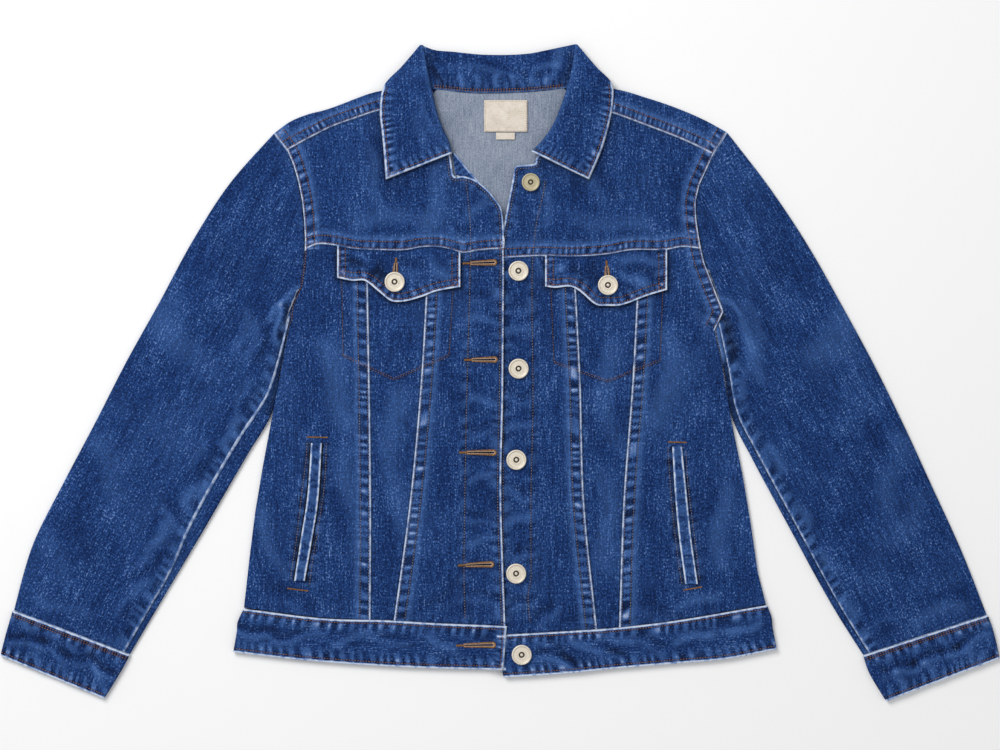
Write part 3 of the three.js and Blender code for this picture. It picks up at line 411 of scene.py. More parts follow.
def ruled(rows: Rows) -> Patch:
    """Patch whose sections run straight from an outer to an inner edge."""
    outer = spline(rows)
    inner = spline(rows, 2, 3)
    return Patch(
        top=lambda u: mix(outer(np.zeros(1)), inner(np.zeros(1)), u),
        bottom=lambda u: mix(outer(np.ones(1)), inner(np.ones(1)), u),
        left=outer,
        right=inner,
    )


@dataclass(frozen=True)
class Spread:
    """Places across a patch: distances from its first edge, even steps, then distances from its last edge."""

    steps: int
    first: tuple[float, ...] = (0.0,)
    last: tuple[float, ...] = (0.0,)
    inset: float = 0.12

    def _parts(self) -> tuple[Array, Array]:
        """Fixed distance of each place, and its share of the patch's size."""
        share = np.arange(1, self.steps) / self.steps
        start = self.first[-1] + self.inset
        end = self.last[-1] + self.inset
        fixed = np.concatenate([
            np.array(self.first) + self.inset,
            start * (1 - share) - end * share,
            -(np.array(self.last)[::-1] + self.inset),
        ])
        shares = np.concatenate([np.zeros(len(self.first)), share, np.ones(len(self.last))])
        return fixed, shares

    @property
    def count(self) -> int:
        """Number of places."""
        return len(self.first) + self.steps - 1 + len(self.last)

    def at(self, index: Array, size: Array | float) -> Array:
        """Share of the patch at each place."""
        fixed, shares = self._parts()
        squeeze = np.minimum(1, size / (1.5 * (self.first[-1] + self.last[-1]) + 1))
        return np.clip(fixed[index] * squeeze / size + shares[index], 0, 1)


# Distances from a stitched edge at which cloth has its own row of vertices
NEAR = (0.0, 0.35, 0.8, 1.3, 1.9, 2.6, 3.4, 4.2, 5.1, 6.0, 6.9, 7.6, 8.2, 9.2, 10.6, 12.4)


def spread(size: float, pitch: float, first: bool = True, last: bool = True) -> Spread:
    """Places across a patch of about this size, close together at the stitched edges.

    Args:
        size: Size of the patch.
        pitch: Distance between places away from the edges.
        first: Whether the first edge is stitched.
        last: Whether the last edge is stitched.

    Returns:
        The places.
    """
    near_first = NEAR if first else (0.0,)
    near_last = NEAR if last else (0.0,)
    free = size - near_first[-1] - near_last[-1]
    return Spread(max(2, round(free / pitch)), near_first, near_last)


@dataclass(frozen=True)
class Lattice:
    """Smooth noise on a square lattice, the same on every run."""

    seed: int

    def at(self, x: Array, y: Array) -> Array:
        """Noise from -1 to 1, with one cell for each unit."""
        grid = np.random.default_rng(self.seed).uniform(-1, 1, (64, 64))
        column = np.floor(x).astype(int)
        row = np.floor(y).astype(int)
        u = ease(x - column, 0, 1)
        v = ease(y - row, 0, 1)
        upper = mix(grid[row % 64, column % 64], grid[row % 64, (column + 1) % 64], u)
        lower = mix(grid[(row + 1) % 64, column % 64], grid[(row + 1) % 64, (column + 1) % 64], u)
        return mix(upper, lower, v)


def neck_lift(x: Array, y: Array) -> Array:
    """Rise of the back yoke, and all above it, over the collar's hidden fall."""
    return NECK_LIFT * ease(y, 190, 225) * (1 - ease(np.abs(x), 104, 128))


def front_rest(x: Array, y: Array) -> Array:
    """Height of the fronts' lower face."""
    body = mix(PUFF, PUFF_SHOULDER, ease(y, 188, 215)) * (1 - ease(np.abs(x), 120, 215))
    puff = mix(body, np.maximum(body, HEM_PUFF), ease(-y, 182, 196))
    return FRONT_REST + puff + neck_lift(x, y)


def centre_lap(x: Array) -> Array:
    """Rise of the right front's edge over the left front."""
    return LAP_RISE * ease(x, LAP_FULL - CENTRE_LAP, LAP_FULL)


def collar_rest(x: Array, y: Array) -> Array:
    """Height of the front collar's lower face."""
    return mix(front_rest(x, np.minimum(y, 240)) + LAP_RISE, COLLAR + GAP, ease(y, 246, 266))


def crest_sum(x: Array, y: Array, rows: Rows) -> Array:
    """Sum of straight soft crests or troughs.

    Args:
        x: Places across.
        y: Places along.
        rows: Each crest's two ends, half width and height, below 0 for a trough.

    Returns:
        The height at each place.
    """
    total = np.zeros_like(x)
    for x1, y1, x2, y2, width, height in rows:
        length = math.hypot(x2 - x1, y2 - y1)
        dx = (x2 - x1) / length
        dy = (y2 - y1) / length
        along = (x - x1) * dx + (y - y1) * dy
        bend = 0.06 * length * np.sin(along / length * 5 + x1)
        aside = (x - x1) * dy - (y - y1) * dx + bend
        past = np.maximum(np.maximum(-along, along - length), 0)
        total = total + height * np.exp(-(aside**2 + past**2) / width**2)
        total = total - 0.5 * height * np.exp(-((aside - 1.7 * width) ** 2 + past**2) / width**2)
    return total


class Edge(Enum):
    """How a seam's edge is sewn."""

    FELLED = "felled"
    HEMMED = "hemmed"
    PLAIN = "plain"


@dataclass(frozen=True)
class Seam:
    """Sewn edge: a worn fold along a line, with puckered cloth beside it.

    The cloth that lies on top is on the left of the line's direction, or on its right where flip is set.
    """

    line: Array
    seed: int
    edge: Edge = Edge.FELLED
    flip: bool = False
    pitch: float = 4.1
    width: float = 8.6
    strength: float = 1.0
    worn: float = 1.0
    rows: tuple[float, ...] = (1.6, 7.4)
    thread: str = "brown"
    on: str = "front"
    below: bool = False

    def measure(self, x: Array, y: Array) -> tuple[Array, Array]:
        """Signed distance from the line, above 0 on the upper cloth, and distance along it."""
        place = x + 1j * y
        best = np.full(place.shape, 1e9)
        signed = np.zeros(place.shape)
        along = np.zeros(place.shape)
        walked = 0.0
        for start, end in zip(self.line[:-1], self.line[1:]):
            step = end - start
            length = abs(step)
            local = (place - start) * np.conj(step) / length
            share = np.clip(local.real, 0, length)
            gap = np.hypot(local.real - share, local.imag)
            closer = gap < best
            best = np.where(closer, gap, best)
            signed = np.where(closer, np.where(local.imag < 0, -gap, gap), signed)
            along = np.where(closer, walked + share, along)
            walked += length
        beyond = (along <= 0) | (along >= walked)
        signed = np.where(beyond & (best > 1.5), -80.0 if not self.flip else 80.0, signed)
        return (-signed if self.flip else signed), along

    def ropes(self, off: Array, along: Array) -> Array:
        """Puckers along the seam, from -1 in a hollow to 1 on a crest, uneven in length and depth."""
        noise = Lattice(self.seed)
        sway = 0.8 * noise.at(along / 23, along * 0 + 3) + 0.2 * noise.at(along / 8, along * 0 + 9)
        phase = 2 * np.pi * (along / self.pitch + 0.02 * off + sway)
        uneven = 0.72 + 0.38 * noise.at(along / 9, 21 + off / 6)
        return np.tanh(1.7 * np.sin(phase) + 0.6 * np.sin(2.3 * phase + 1.1)) * uneven * self.strength

    def dress(self, x: Array, y: Array) -> tuple[Array, Array, Array, Array]:
        """What the seam does to the cloth near it.

        Args:
            x: Places across.
            y: Places along.

        Returns:
            How far the cloth is doubled, its puckers, how worn it is, and how dark it is: dye kept dark in the pucker
            hollows, with painted shade in the stitch channels and in the gutter beside the fold.
        """
        off, along = self.measure(x, y)
        noise = Lattice(self.seed + 500)
        rope = self.ropes(off, along)
        crest, hollow = np.clip(rope, 0, 1), np.clip(-rope, 0, 1)
        channel = sum((np.exp(-((off - row) ** 2) / 0.62) for row in self.rows), np.zeros_like(off))
        fray = 0.8 + 0.3 * noise.at(along / 2.3, along * 0 + 33)
        fold_line = (1 - ease(off, 1.1, 2.1)) * ease(off, -0.35, 0.0) * fray
        gutter_shade = ease(off, -1.9, -0.5) * (1 - ease(off, -0.3, 0.0))
        below = np.exp(-np.minimum(off, 0) ** 2 / 26) * (1 - ease(off, -0.4, 0.0))
        if self.edge is Edge.FELLED:
            strip = ease(off, -0.2, 0.3) * (1 - ease(off, self.width - 0.5, self.width + 0.7))
            past = np.maximum(off - self.width, 0)
            beside = np.exp(-(past**2) / 14) * ease(off, self.width - 0.6, self.width + 0.4)
            doubled = strip
        elif self.edge is Edge.HEMMED:
            strip = ease(off, -0.4, 0.4) * (1 - ease(off, 4, 14))
            beside = np.zeros_like(off)
            doubled = np.zeros_like(off)
        else:
            strip = 0.6 * np.exp(-(off**2) / 18)
            beside = np.zeros_like(off)
            doubled = np.zeros_like(off)
            fold_line = np.zeros_like(off)
            gutter_shade = np.zeros_like(off)
        between = strip * ease(off, 1.0, 2.4)
        if self.edge is Edge.PLAIN:
            between = strip
        puckers = rope * (0.24 * between + 0.08 * beside + 0.08 * below) - 0.2 * channel
        around = (0.26 + 0.2 * crest) * beside + 0.14 * crest * below
        worn = self.worn * (1.1 * fold_line + 0.62 * crest * between + around)
        worn = worn * (1 - 0.8 * np.clip(channel, 0, 1))
        # Painted shade in the stitch channels and in the gutter beside the fold; the pucker hollows keep their dark
        # dye.
        deep = 0.85 * hollow * between + 0.95 * channel + 0.95 * gutter_shade + 0.15 * hollow * (below + beside)
        return doubled, puckers, worn, deep

    def row_line(self, offset: float) -> Array:
        """Line of a stitch row, this far in from the edge."""
        step = np.gradient(self.line)
        aside = 1j * step / np.abs(step)
        return self.line + aside * (-offset if self.flip else offset)


def traced(line: Line, count: int = 48) -> Array:
    """Points along a line, close together."""
    return line(np.linspace(0, 1, count))


@dataclass(frozen=True)
class PaintedShadow:
    """Edge of a piece that lies on the cloth, beside which the cloth is darkened with painted shadow."""

    line: Array
    reach: float = 4.0
    shadow_darkness: float = 0.6

    def shade(self, x: Array, y: Array) -> Array:
        """Darkness of the painted shadow at each place."""
        off, _ = Seam(self.line, 0).measure(x, y)
        return self.shadow_darkness * np.exp(-((off / self.reach) ** 2))


@dataclass
class Cloth:
    """One panel of cloth on a patch, with its seams, creases, grain and wear."""

    name: str
    area: Patch
    columns: Spread
    rows: Spread
    rest: Height
    thickness: float = CLOTH
    seams: Sequence[Seam] = ()
    rise: Height | None = None
    creases: Rows = ()
    grain: float = 0.0
    seed: int = 1
    inside_up: bool = False
    painted_shadows: Sequence[PaintedShadow] = ()

    def place(self, column: Array, row: Array) -> tuple[Array, Array, Array]:
        """Point of the upper face at each column and row, in millimetres."""
        v = self.rows.at(row, self.area.height(0.5))
        u = self.columns.at(column, self.area.width(v))
        point = self.area.at(u, v)
        x, y = point.real, point.imag
        return x, y, self.rest(x, y) + self.thickness

    def relief(self, x: Array, y: Array) -> tuple[Array, Array, Array]:
        """Rise from seams and creases, wear, and darkness at each place: dye kept dark in pucker hollows, with
        painted shade in crease troughs, seam channels and gutters, and painted shadow beside the pieces that lie on
        top.
        """
        ripple = Lattice(self.seed)
        soft = crest_sum(x, y, self.creases)
        soft = soft + 0.10 * ripple.at(x / 31, y / 43) + 0.05 * ripple.at(x / 11, y / 15)
        # Crease crests are worn paler; crease troughs get painted shade.
        worn = np.clip(soft * 0.5, 0, 0.5)
        deep = np.clip(-soft * 0.75, 0, 0.95)
        doubled = np.zeros_like(x) if self.rise is None else self.rise(x, y)
        total = soft
        for seam in self.seams:
            seam_doubled, puckers, seam_worn, seam_shade_and_dark_tone = seam.dress(x, y)
            doubled = np.maximum(doubled, FELL_RISE * seam_doubled)
            total = total + puckers
            worn = np.maximum(worn, seam_worn)
            deep = np.maximum(deep, seam_shade_and_dark_tone)
        # Painted shadow beside the edges of the pieces that lie on this one.
        for painted_shadow in self.painted_shadows:
            deep = np.maximum(deep, painted_shadow.shade(x, y))
        return total + doubled, worn, deep

    def mesh(self) -> bpy.types.Mesh:
        """Builds the upper face as a fine grid."""
        mesh = grid_mesh(self.name, self.columns.count, self.rows.count)
        column, row = grid_places(mesh, self.columns.count, self.rows.count)
        x, y, z = self.place(column, row)
        rise, worn, deep = self.relief(x, y)
        if self.inside_up:
            rise = rise * 0
        set_points(mesh, x, y, z + rise)
        set_wear(mesh, worn, deep)
        turn = np.exp(-1j * math.radians(self.grain))
        grain = (x + 1j * y) * turn
        set_grain(mesh, grain.real, grain.imag)
        return mesh


def grid_mesh(name: str, columns: int, rows: int) -> bpy.types.Mesh:
    """Flat grid with this many columns and rows of vertices."""
    shell = bmesh.new()
    bmesh.ops.create_grid(shell, x_segments=columns - 1, y_segments=rows - 1, size=0.5)
    mesh = bpy.data.meshes.new(name)
    shell.to_mesh(mesh)
    shell.free()
    return mesh


def grid_places(mesh: bpy.types.Mesh, columns: int, rows: int) -> tuple[Array, Array]:
    """Column and row of each vertex of a flat grid, from its left and its top."""
    flat = np.empty(len(mesh.vertices) * 3)
    mesh.vertices.foreach_get("co", flat)
    spots = flat.reshape(-1, 3)
    low = spots.min(axis=0)
    high = spots.max(axis=0)
    column = np.rint((spots[:, 0] - low[0]) / (high[0] - low[0]) * (columns - 1)).astype(int)
    row = np.rint((high[1] - spots[:, 1]) / (high[1] - low[1]) * (rows - 1)).astype(int)
    return column, row


def set_points(mesh: bpy.types.Mesh, x: Array, y: Array, z: Array) -> None:
    """Moves a mesh's vertices to places in millimetres."""
    mesh.vertices.foreach_set("co", (np.stack([x, y, z], axis=1) * MM).ravel())
    mesh.update()


def set_wear(mesh: bpy.types.Mesh, worn: Array, deep: Array) -> None:
    """Stores how worn the cloth is, and how dark: painted shade, with darker tone of its own."""
    for name, values in (("worn", worn), ("deep", deep)):
        layer = mesh.attributes.new(name, "FLOAT", "POINT")
        layer.data.foreach_set("value", np.clip(values, 0, 1).astype(np.float32))


def set_grain(mesh: bpy.types.Mesh, weft: Array, warp: Array) -> None:
    """Stores the cloth's own coordinates, across and along its warp, in metres."""
    corner = np.empty(len(mesh.loops), dtype=np.int32)
    mesh.loops.foreach_get("vertex_index", corner)
    layer = mesh.uv_layers.new(name="grain")
    layer.data.foreach_set("uv", (np.stack([weft[corner], warp[corner]], axis=1) * MM).ravel())


def face_up(mesh: bpy.types.Mesh, up: bool = True) -> None:
    """Turns a mesh so that its first face looks up, or down."""
    if (mesh.polygons[0].normal.z > 0) != up:
        mesh.flip_normals()


def joined(name: str, parts: Sequence[bpy.types.Mesh]) -> bpy.types.Mesh:
    """Joins meshes into one, with their wear and grain."""
    shell = bmesh.new()
    for part in parts:
        shell.from_mesh(part)
    mesh = bpy.data.meshes.new(name)
    shell.to_mesh(mesh)
    shell.free()
    for part in parts:
        bpy.data.meshes.remove(part)
    return mesh


def hex_color(code: str) -> tuple[float, float, float, float]:
    """Colour of a six-digit code, in the shader's own scale."""
    levels = [int(code[i : i + 2], 16) / 255 for i in (0, 2, 4)]
    linear = [c / 12.92 if c <= 0.04045 else ((c + 0.055) / 1.055) ** 2.4 for c in levels]
    return (linear[0], linear[1], linear[2], 1.0)


@dataclass(frozen=True)
class Value:
    """A shader socket on which Python's arithmetic adds Math nodes."""

    recipe: "Recipe"
    socket: bpy.types.NodeSocket

    def _math(self, operation: str, first: "Value | float", second: "Value | float") -> "Value":
        """Adds one Math node."""
        return self.recipe.node("ShaderNodeMath", {"operation": operation}, {0: first, 1: second})

    def __add__(self, other: "Value | float") -> "Value":
        """Sum."""
        return self._math("ADD", self, other)

    def __radd__(self, other: float) -> "Value":
        """Sum, from the right."""
        return self._math("ADD", other, self)

    def __sub__(self, other: "Value | float") -> "Value":
        """Difference."""
        return self._math("SUBTRACT", self, other)

    def __rsub__(self, other: float) -> "Value":
        """Difference, from the right."""
        return self._math("SUBTRACT", other, self)

    def __mul__(self, other: "Value | float") -> "Value":
        """Product."""
        return self._math("MULTIPLY", self, other)

    def __rmul__(self, other: float) -> "Value":
        """Product, from the right."""
        return self._math("MULTIPLY", other, self)

    def __pow__(self, other: float) -> "Value":
        """Power."""
        return self._math("POWER", self, other)

    def step(self, start: float, end: float) -> "Value":
        """Smooth step from 0 at start to 1 at end."""
        return self.recipe.node(
            "ShaderNodeMapRange", {"interpolation_type": "SMOOTHSTEP"}, {0: self, 1: start, 2: end, 3: 0.0, 4: 1.0}
        )


class Recipe:
    """Node material of one finish."""

    def __init__(self, name: str) -> None:
        """Starts an empty material.

        Args:
            name: Name of the material.
        """
        self.material = bpy.data.materials.new(name)
        self.material.use_nodes = True
        self.tree = self.material.node_tree
        self.tree.nodes.clear()

    def node(
        self,
        kind: str,
        settings: dict[str, object],
        inputs: dict[int | str, object],
        output: int | str = 0,
    ) -> Value:
        """Adds a node.

        Args:
            kind: The node's type.
            settings: Its own settings, set before its sockets. A ramp's stops are under "stops".
            inputs: Values or links of its sockets, by number or name.
            output: The socket that is returned.

        Returns:
            The output socket.
        """
        node = self.tree.nodes.new(kind)
        for name, setting in settings.items():
            if name == "stops":
                ramp = node.color_ramp.elements
                while len(ramp) < len(setting):
                    ramp.new(0.5)
                for stop, (place, color) in zip(ramp, setting):
                    stop.position = place
                    stop.color = color
            else:
                setattr(node, name, setting)
        for key, value in inputs.items():
            if isinstance(value, Value):
                self.tree.links.new(value.socket, node.inputs[key])
            else:
                node.inputs[key].default_value = value
        return Value(self, node.outputs[output])

    def grain(self, across: float, along: float, turn: float = 0.0) -> Value:
        """The cloth's own coordinates, in cells of this size in metres."""
        place = self.node("ShaderNodeUVMap", {"uv_map": "grain"}, {})
        return self.node(
            "ShaderNodeMapping", {}, {0: place, "Rotation": (0.0, 0.0, turn), "Scale": (1 / across, 1 / along, 1.0)}
        )

    def noise(self, place: Value, detail: float = 2.0, roughness: float = 0.5) -> Value:
        """Noise from 0 to 1, with one cell for each unit of its place."""
        return self.node("ShaderNodeTexNoise", {}, {0: place, "Scale": 1.0, "Detail": detail, "Roughness": roughness})

    def attribute(self, name: str) -> Value:
        """Value that is stored on the cloth's points."""
        return self.node("ShaderNodeAttribute", {"attribute_name": name}, {}, "Fac")

    def blend(self, share: Value | float, first: object, second: object, kind: str = "MIX") -> Value:
        """Blend of two colours."""
        settings = {"data_type": "RGBA", "blend_type": kind, "clamp_factor": True}
        return self.node("ShaderNodeMix", settings, {0: share, 6: first, 7: second}, 2)

    def ramp(self, share: Value, stops: Sequence[tuple[float, str]]) -> Value:
        """Colour that runs through these stops."""
        return self.node(
            "ShaderNodeValToRGB", {"stops": [(place, hex_color(code)) for place, code in stops]}, {0: share}
        )

    def bump(self, height: Value, distance: float, strength: float = 1.0) -> Value:
        """Normal of a fine relief."""
        return self.node("ShaderNodeBump", {}, {"Height": height, "Distance": distance, "Strength": strength})

    def surface(
        self,
        color: object,
        roughness: object,
        normal: Value | None = None,
        **fixed: float,
    ) -> bpy.types.Material:
        """Ends the material.

        Args:
            color: Base colour.
            roughness: Roughness.
            normal: Normal of the relief.
            fixed: Other sockets of the shader, with words joined by underscores.

        Returns:
            The material.
        """
        inputs = {"Base Color": color, "Roughness": roughness}
        if normal is not None:
            inputs["Normal"] = normal
        inputs.update({name.replace("_", " "): value for name, value in fixed.items()})
        shader = self.node("ShaderNodeBsdfPrincipled", {}, inputs)
        end = self.tree.nodes.new("ShaderNodeOutputMaterial")
        self.tree.links.new(shader.socket, end.inputs[0])
        return self.material


@dataclass(frozen=True)
class Denim:
    """Blue twill with slubs along the warp, pale where it is worn, and darkened by painted shade and by dye kept dark
    in hollows.
    """

    name: str = "denim"
    dark: str = "0a1839"
    mid: str = "143166"
    light: str = "2a4e8a"
    fleck: str = "7290c2"
    faded: str = "4a70ae"
    worn: str = "c6d2e6"
    twill: float = 0.0011

    def make(self) -> bpy.types.Material:
        """Makes the material."""
        recipe = Recipe(self.name)
        slub = recipe.noise(recipe.grain(0.0011, 0.012), 3.0)
        cross = recipe.noise(recipe.grain(0.009, 0.0012), 2.0)
        speck = recipe.noise(recipe.grain(0.0013, 0.0019), 2.0, 0.7)
        cloud = recipe.noise(recipe.grain(0.028, 0.045), 3.0)
        streak = recipe.noise(recipe.grain(0.004, 0.06), 2.0)
        tone = 0.5 + 0.75 * (slub - 0.5) + 0.25 * (cross - 0.5) + 1.75 * (speck - 0.5) + 0.5 * (cloud - 0.5)
        tone = tone + 0.35 * (streak - 0.5)
        base = recipe.ramp(tone, ((0.12, self.dark), (0.48, self.mid), (0.72, self.light), (0.95, self.fleck)))
        deep = recipe.attribute("deep")
        # Painted shade and kept dark dye blend the colour towards near-black navy.
        shaded = recipe.blend(deep * (0.6 + 0.5 * (1 - speck)), base, hex_color("070f26"))
        worn = recipe.attribute("worn")
        share = worn * (0.6 + 1.1 * (speck - 0.1) + 0.4 * (slub - 0.5))
        faded = recipe.blend(share * 1.7, shaded, hex_color(self.faded))
        color = recipe.blend(share.step(0.32, 1.0), faded, hex_color(self.worn))
        place = recipe.grain(self.twill, self.twill, math.radians(28))
        wave = {0: place, "Scale": 0.32, "Distortion": 0.6, "Detail": 1.0}
        rib = recipe.node("ShaderNodeTexWave", {"bands_direction": "X"}, wave)
        relief = rib * 0.35 + slub * 0.5 + speck * 0.45
        return recipe.surface(color, 0.92, recipe.bump(relief, 0.00022, 0.8), Specular_IOR_Level=0.12)


@dataclass(frozen=True)
class Inside:
    """The cloth's other face, pale with blue specks."""

    name: str = "denim_inside"

    def make(self) -> bpy.types.Material:
        """Makes the material."""
        recipe = Recipe(self.name)
        speck = recipe.noise(recipe.grain(0.0008, 0.0016), 3.0, 0.7)
        slub = recipe.noise(recipe.grain(0.0012, 0.012), 2.0)
        cloud = recipe.noise(recipe.grain(0.03, 0.03), 2.0)
        tone = 0.5 + 1.2 * (speck - 0.5) + 0.5 * (slub - 0.5) + 0.3 * (cloud - 0.5)
        base = recipe.ramp(tone, ((0.2, "566178"), (0.45, "808b9e"), (0.7, "9ba4b2"), (0.9, "bcc3cc")))
        # Painted shade and darker tone from the stored darkness blend the inner face towards grey-blue.
        color = recipe.blend(recipe.attribute("deep") * 0.6, base, hex_color("4a5568"))
        relief = recipe.bump(speck * 0.6 + slub * 0.4, 0.0002, 0.7)
        return recipe.surface(color, 0.95, relief, Specular_IOR_Level=0.15)


@dataclass(frozen=True)
class Thread:
    """Sewing thread with a fine twist."""

    name: str
    color: str
    shade: str

    def make(self) -> bpy.types.Material:
        """Makes the material."""
        recipe = Recipe(self.name)
        place = recipe.node("ShaderNodeTexCoord", {}, {}, "Object")
        scaled = recipe.node("ShaderNodeMapping", {}, {0: place, "Scale": (900.0, 900.0, 900.0)})
        patch = recipe.noise(scaled, 2.0)
        color = recipe.ramp(patch, ((0.3, self.shade), (0.65, self.color)))
        return recipe.surface(color, 0.7, recipe.bump(patch, 0.0001, 0.5), Specular_IOR_Level=0.3)


@dataclass(frozen=True)
class ButtonMetal:
    """Pale cast metal with a soft sheen."""

    name: str = "button_metal"
    color: str = "ece3d4"
    shade: str = "cbbfa9"
    dark: str = "2c251c"
    aged: str = "a89d74"

    def make(self) -> bpy.types.Material:
        """Makes the material."""
        recipe = Recipe(self.name)
        place = recipe.node("ShaderNodeTexCoord", {}, {}, "Object")
        scaled = recipe.node("ShaderNodeMapping", {}, {0: place, "Scale": (1400.0, 1400.0, 1400.0)})
        grain = recipe.noise(scaled, 3.0)
        pale = recipe.ramp(grain, ((0.25, self.shade), (0.6, self.color)))
        aged = recipe.blend(recipe.attribute("worn"), pale, hex_color(self.aged))
        color = recipe.blend(recipe.attribute("deep"), aged, hex_color(self.dark))
        rough = 0.36 + 0.2 * grain
        return recipe.surface(color, rough, recipe.bump(grain, 0.00005, 0.4), Metallic=0.25)


@dataclass(frozen=True)
class LabelCloth:
    """Cream woven label."""

    name: str = "label_cloth"

    def make(self) -> bpy.types.Material:
        """Makes the material."""
        recipe = Recipe(self.name)
        warp = recipe.noise(recipe.grain(0.0004, 0.005), 2.0)
        weft = recipe.noise(recipe.grain(0.005, 0.0005), 2.0)
        stain = recipe.noise(recipe.grain(0.009, 0.009), 2.0)
        tone = 0.5 + 0.6 * (warp - 0.5) + 0.6 * (weft - 0.5) + 0.5 * (stain - 0.5)
        color = recipe.ramp(tone, ((0.25, "c4b8a8"), (0.5, "dcd2c5"), (0.8, "ebe4da")))
        return recipe.surface(color, 0.85, recipe.bump(warp + weft, 0.00015, 0.6), Specular_IOR_Level=0.2)


class Workshop:
    """Makes each finish once and turns meshes into pieces of the part."""

    def __init__(self) -> None:
        """Makes the finishes."""
        self.denim = Denim().make()
        self.inside = Inside().make()
        self.metal = ButtonMetal().make()
        self.label = LabelCloth().make()
        self.threads = {
            "brown": Thread("thread_brown", "b07c58", "6e4a38").make(),
            "gold": Thread("thread_gold", "a5763f", "6c4a26").make(),
            "tan": Thread("thread_tan", "cdb09a", "a08570").make(),
            "dull": Thread("thread_dull", "a3938f", "5e535c").make(),
            "cream": Thread("thread_cream", "eceae4", "cfcabd").make(),
            # The shadow cord is no thread: its near-black stands for painted shadow in slits and gaps.
            "black": Thread("thread_black", "0a0f22", "04070f").make(),
        }
        self.cloth: list[bpy.types.Object] = []

    def piece(
        self,
        mesh: bpy.types.Mesh,
        finishes: Sequence[bpy.types.Material],
        nodes: Sequence[str],
        slot: str,
    ) -> bpy.types.Object:
        """Turns a mesh into a piece that stands for CAD nodes.

        Args:
            mesh: The mesh, in its place.
            finishes: Its materials, the outer one first.
            nodes: CAD nodes that it replaces.
            slot: Not used.

        Returns:
            The piece.
        """
        piece = bpy.data.objects.new(mesh.name.split(".")[0] + "_made", mesh)
        bpy.context.collection.objects.link(piece)
        for finish in finishes:
            mesh.materials.append(finish)
        mesh.shade_smooth()
        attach(piece, "root")
        if nodes:
            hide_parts(*nodes)
        log.info("%s: %d faces", piece.name, len(mesh.polygons))
        return piece

    def sheet(
        self,
        mesh: bpy.types.Mesh,
        node: str,
        thickness: float,
        inside_out: bool = False,
        rests_on: Sequence[str] = (),
    ) -> bpy.types.Object:
        """Turns a grid into a sheet of cloth with its thickness.

        Args:
            mesh: The cloth's face that its vertices lie on.
            node: CAD node that it replaces.
            thickness: Thickness of the cloth, in millimetres.
            inside_out: Whether the mesh is the cloth's inner face.
            rests_on: What it lies on; it is not used.

        Returns:
            The sheet.
        """
        finishes = [self.inside, self.denim] if inside_out else [self.denim, self.inside]
        piece = self.piece(mesh, finishes, [node], "denim")
        log.info("%s: %.4f square metres", node, sum(face.area for face in mesh.polygons))
        wall = piece.modifiers.new("thickness", "SOLIDIFY")
        wall.thickness = thickness * MM
        wall.offset = -1
        wall.use_rim = True
        wall.material_offset = 1
        wall.material_offset_rim = 1 if inside_out else 0
        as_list(rests_on)
        self.cloth.append(piece)
        return piece


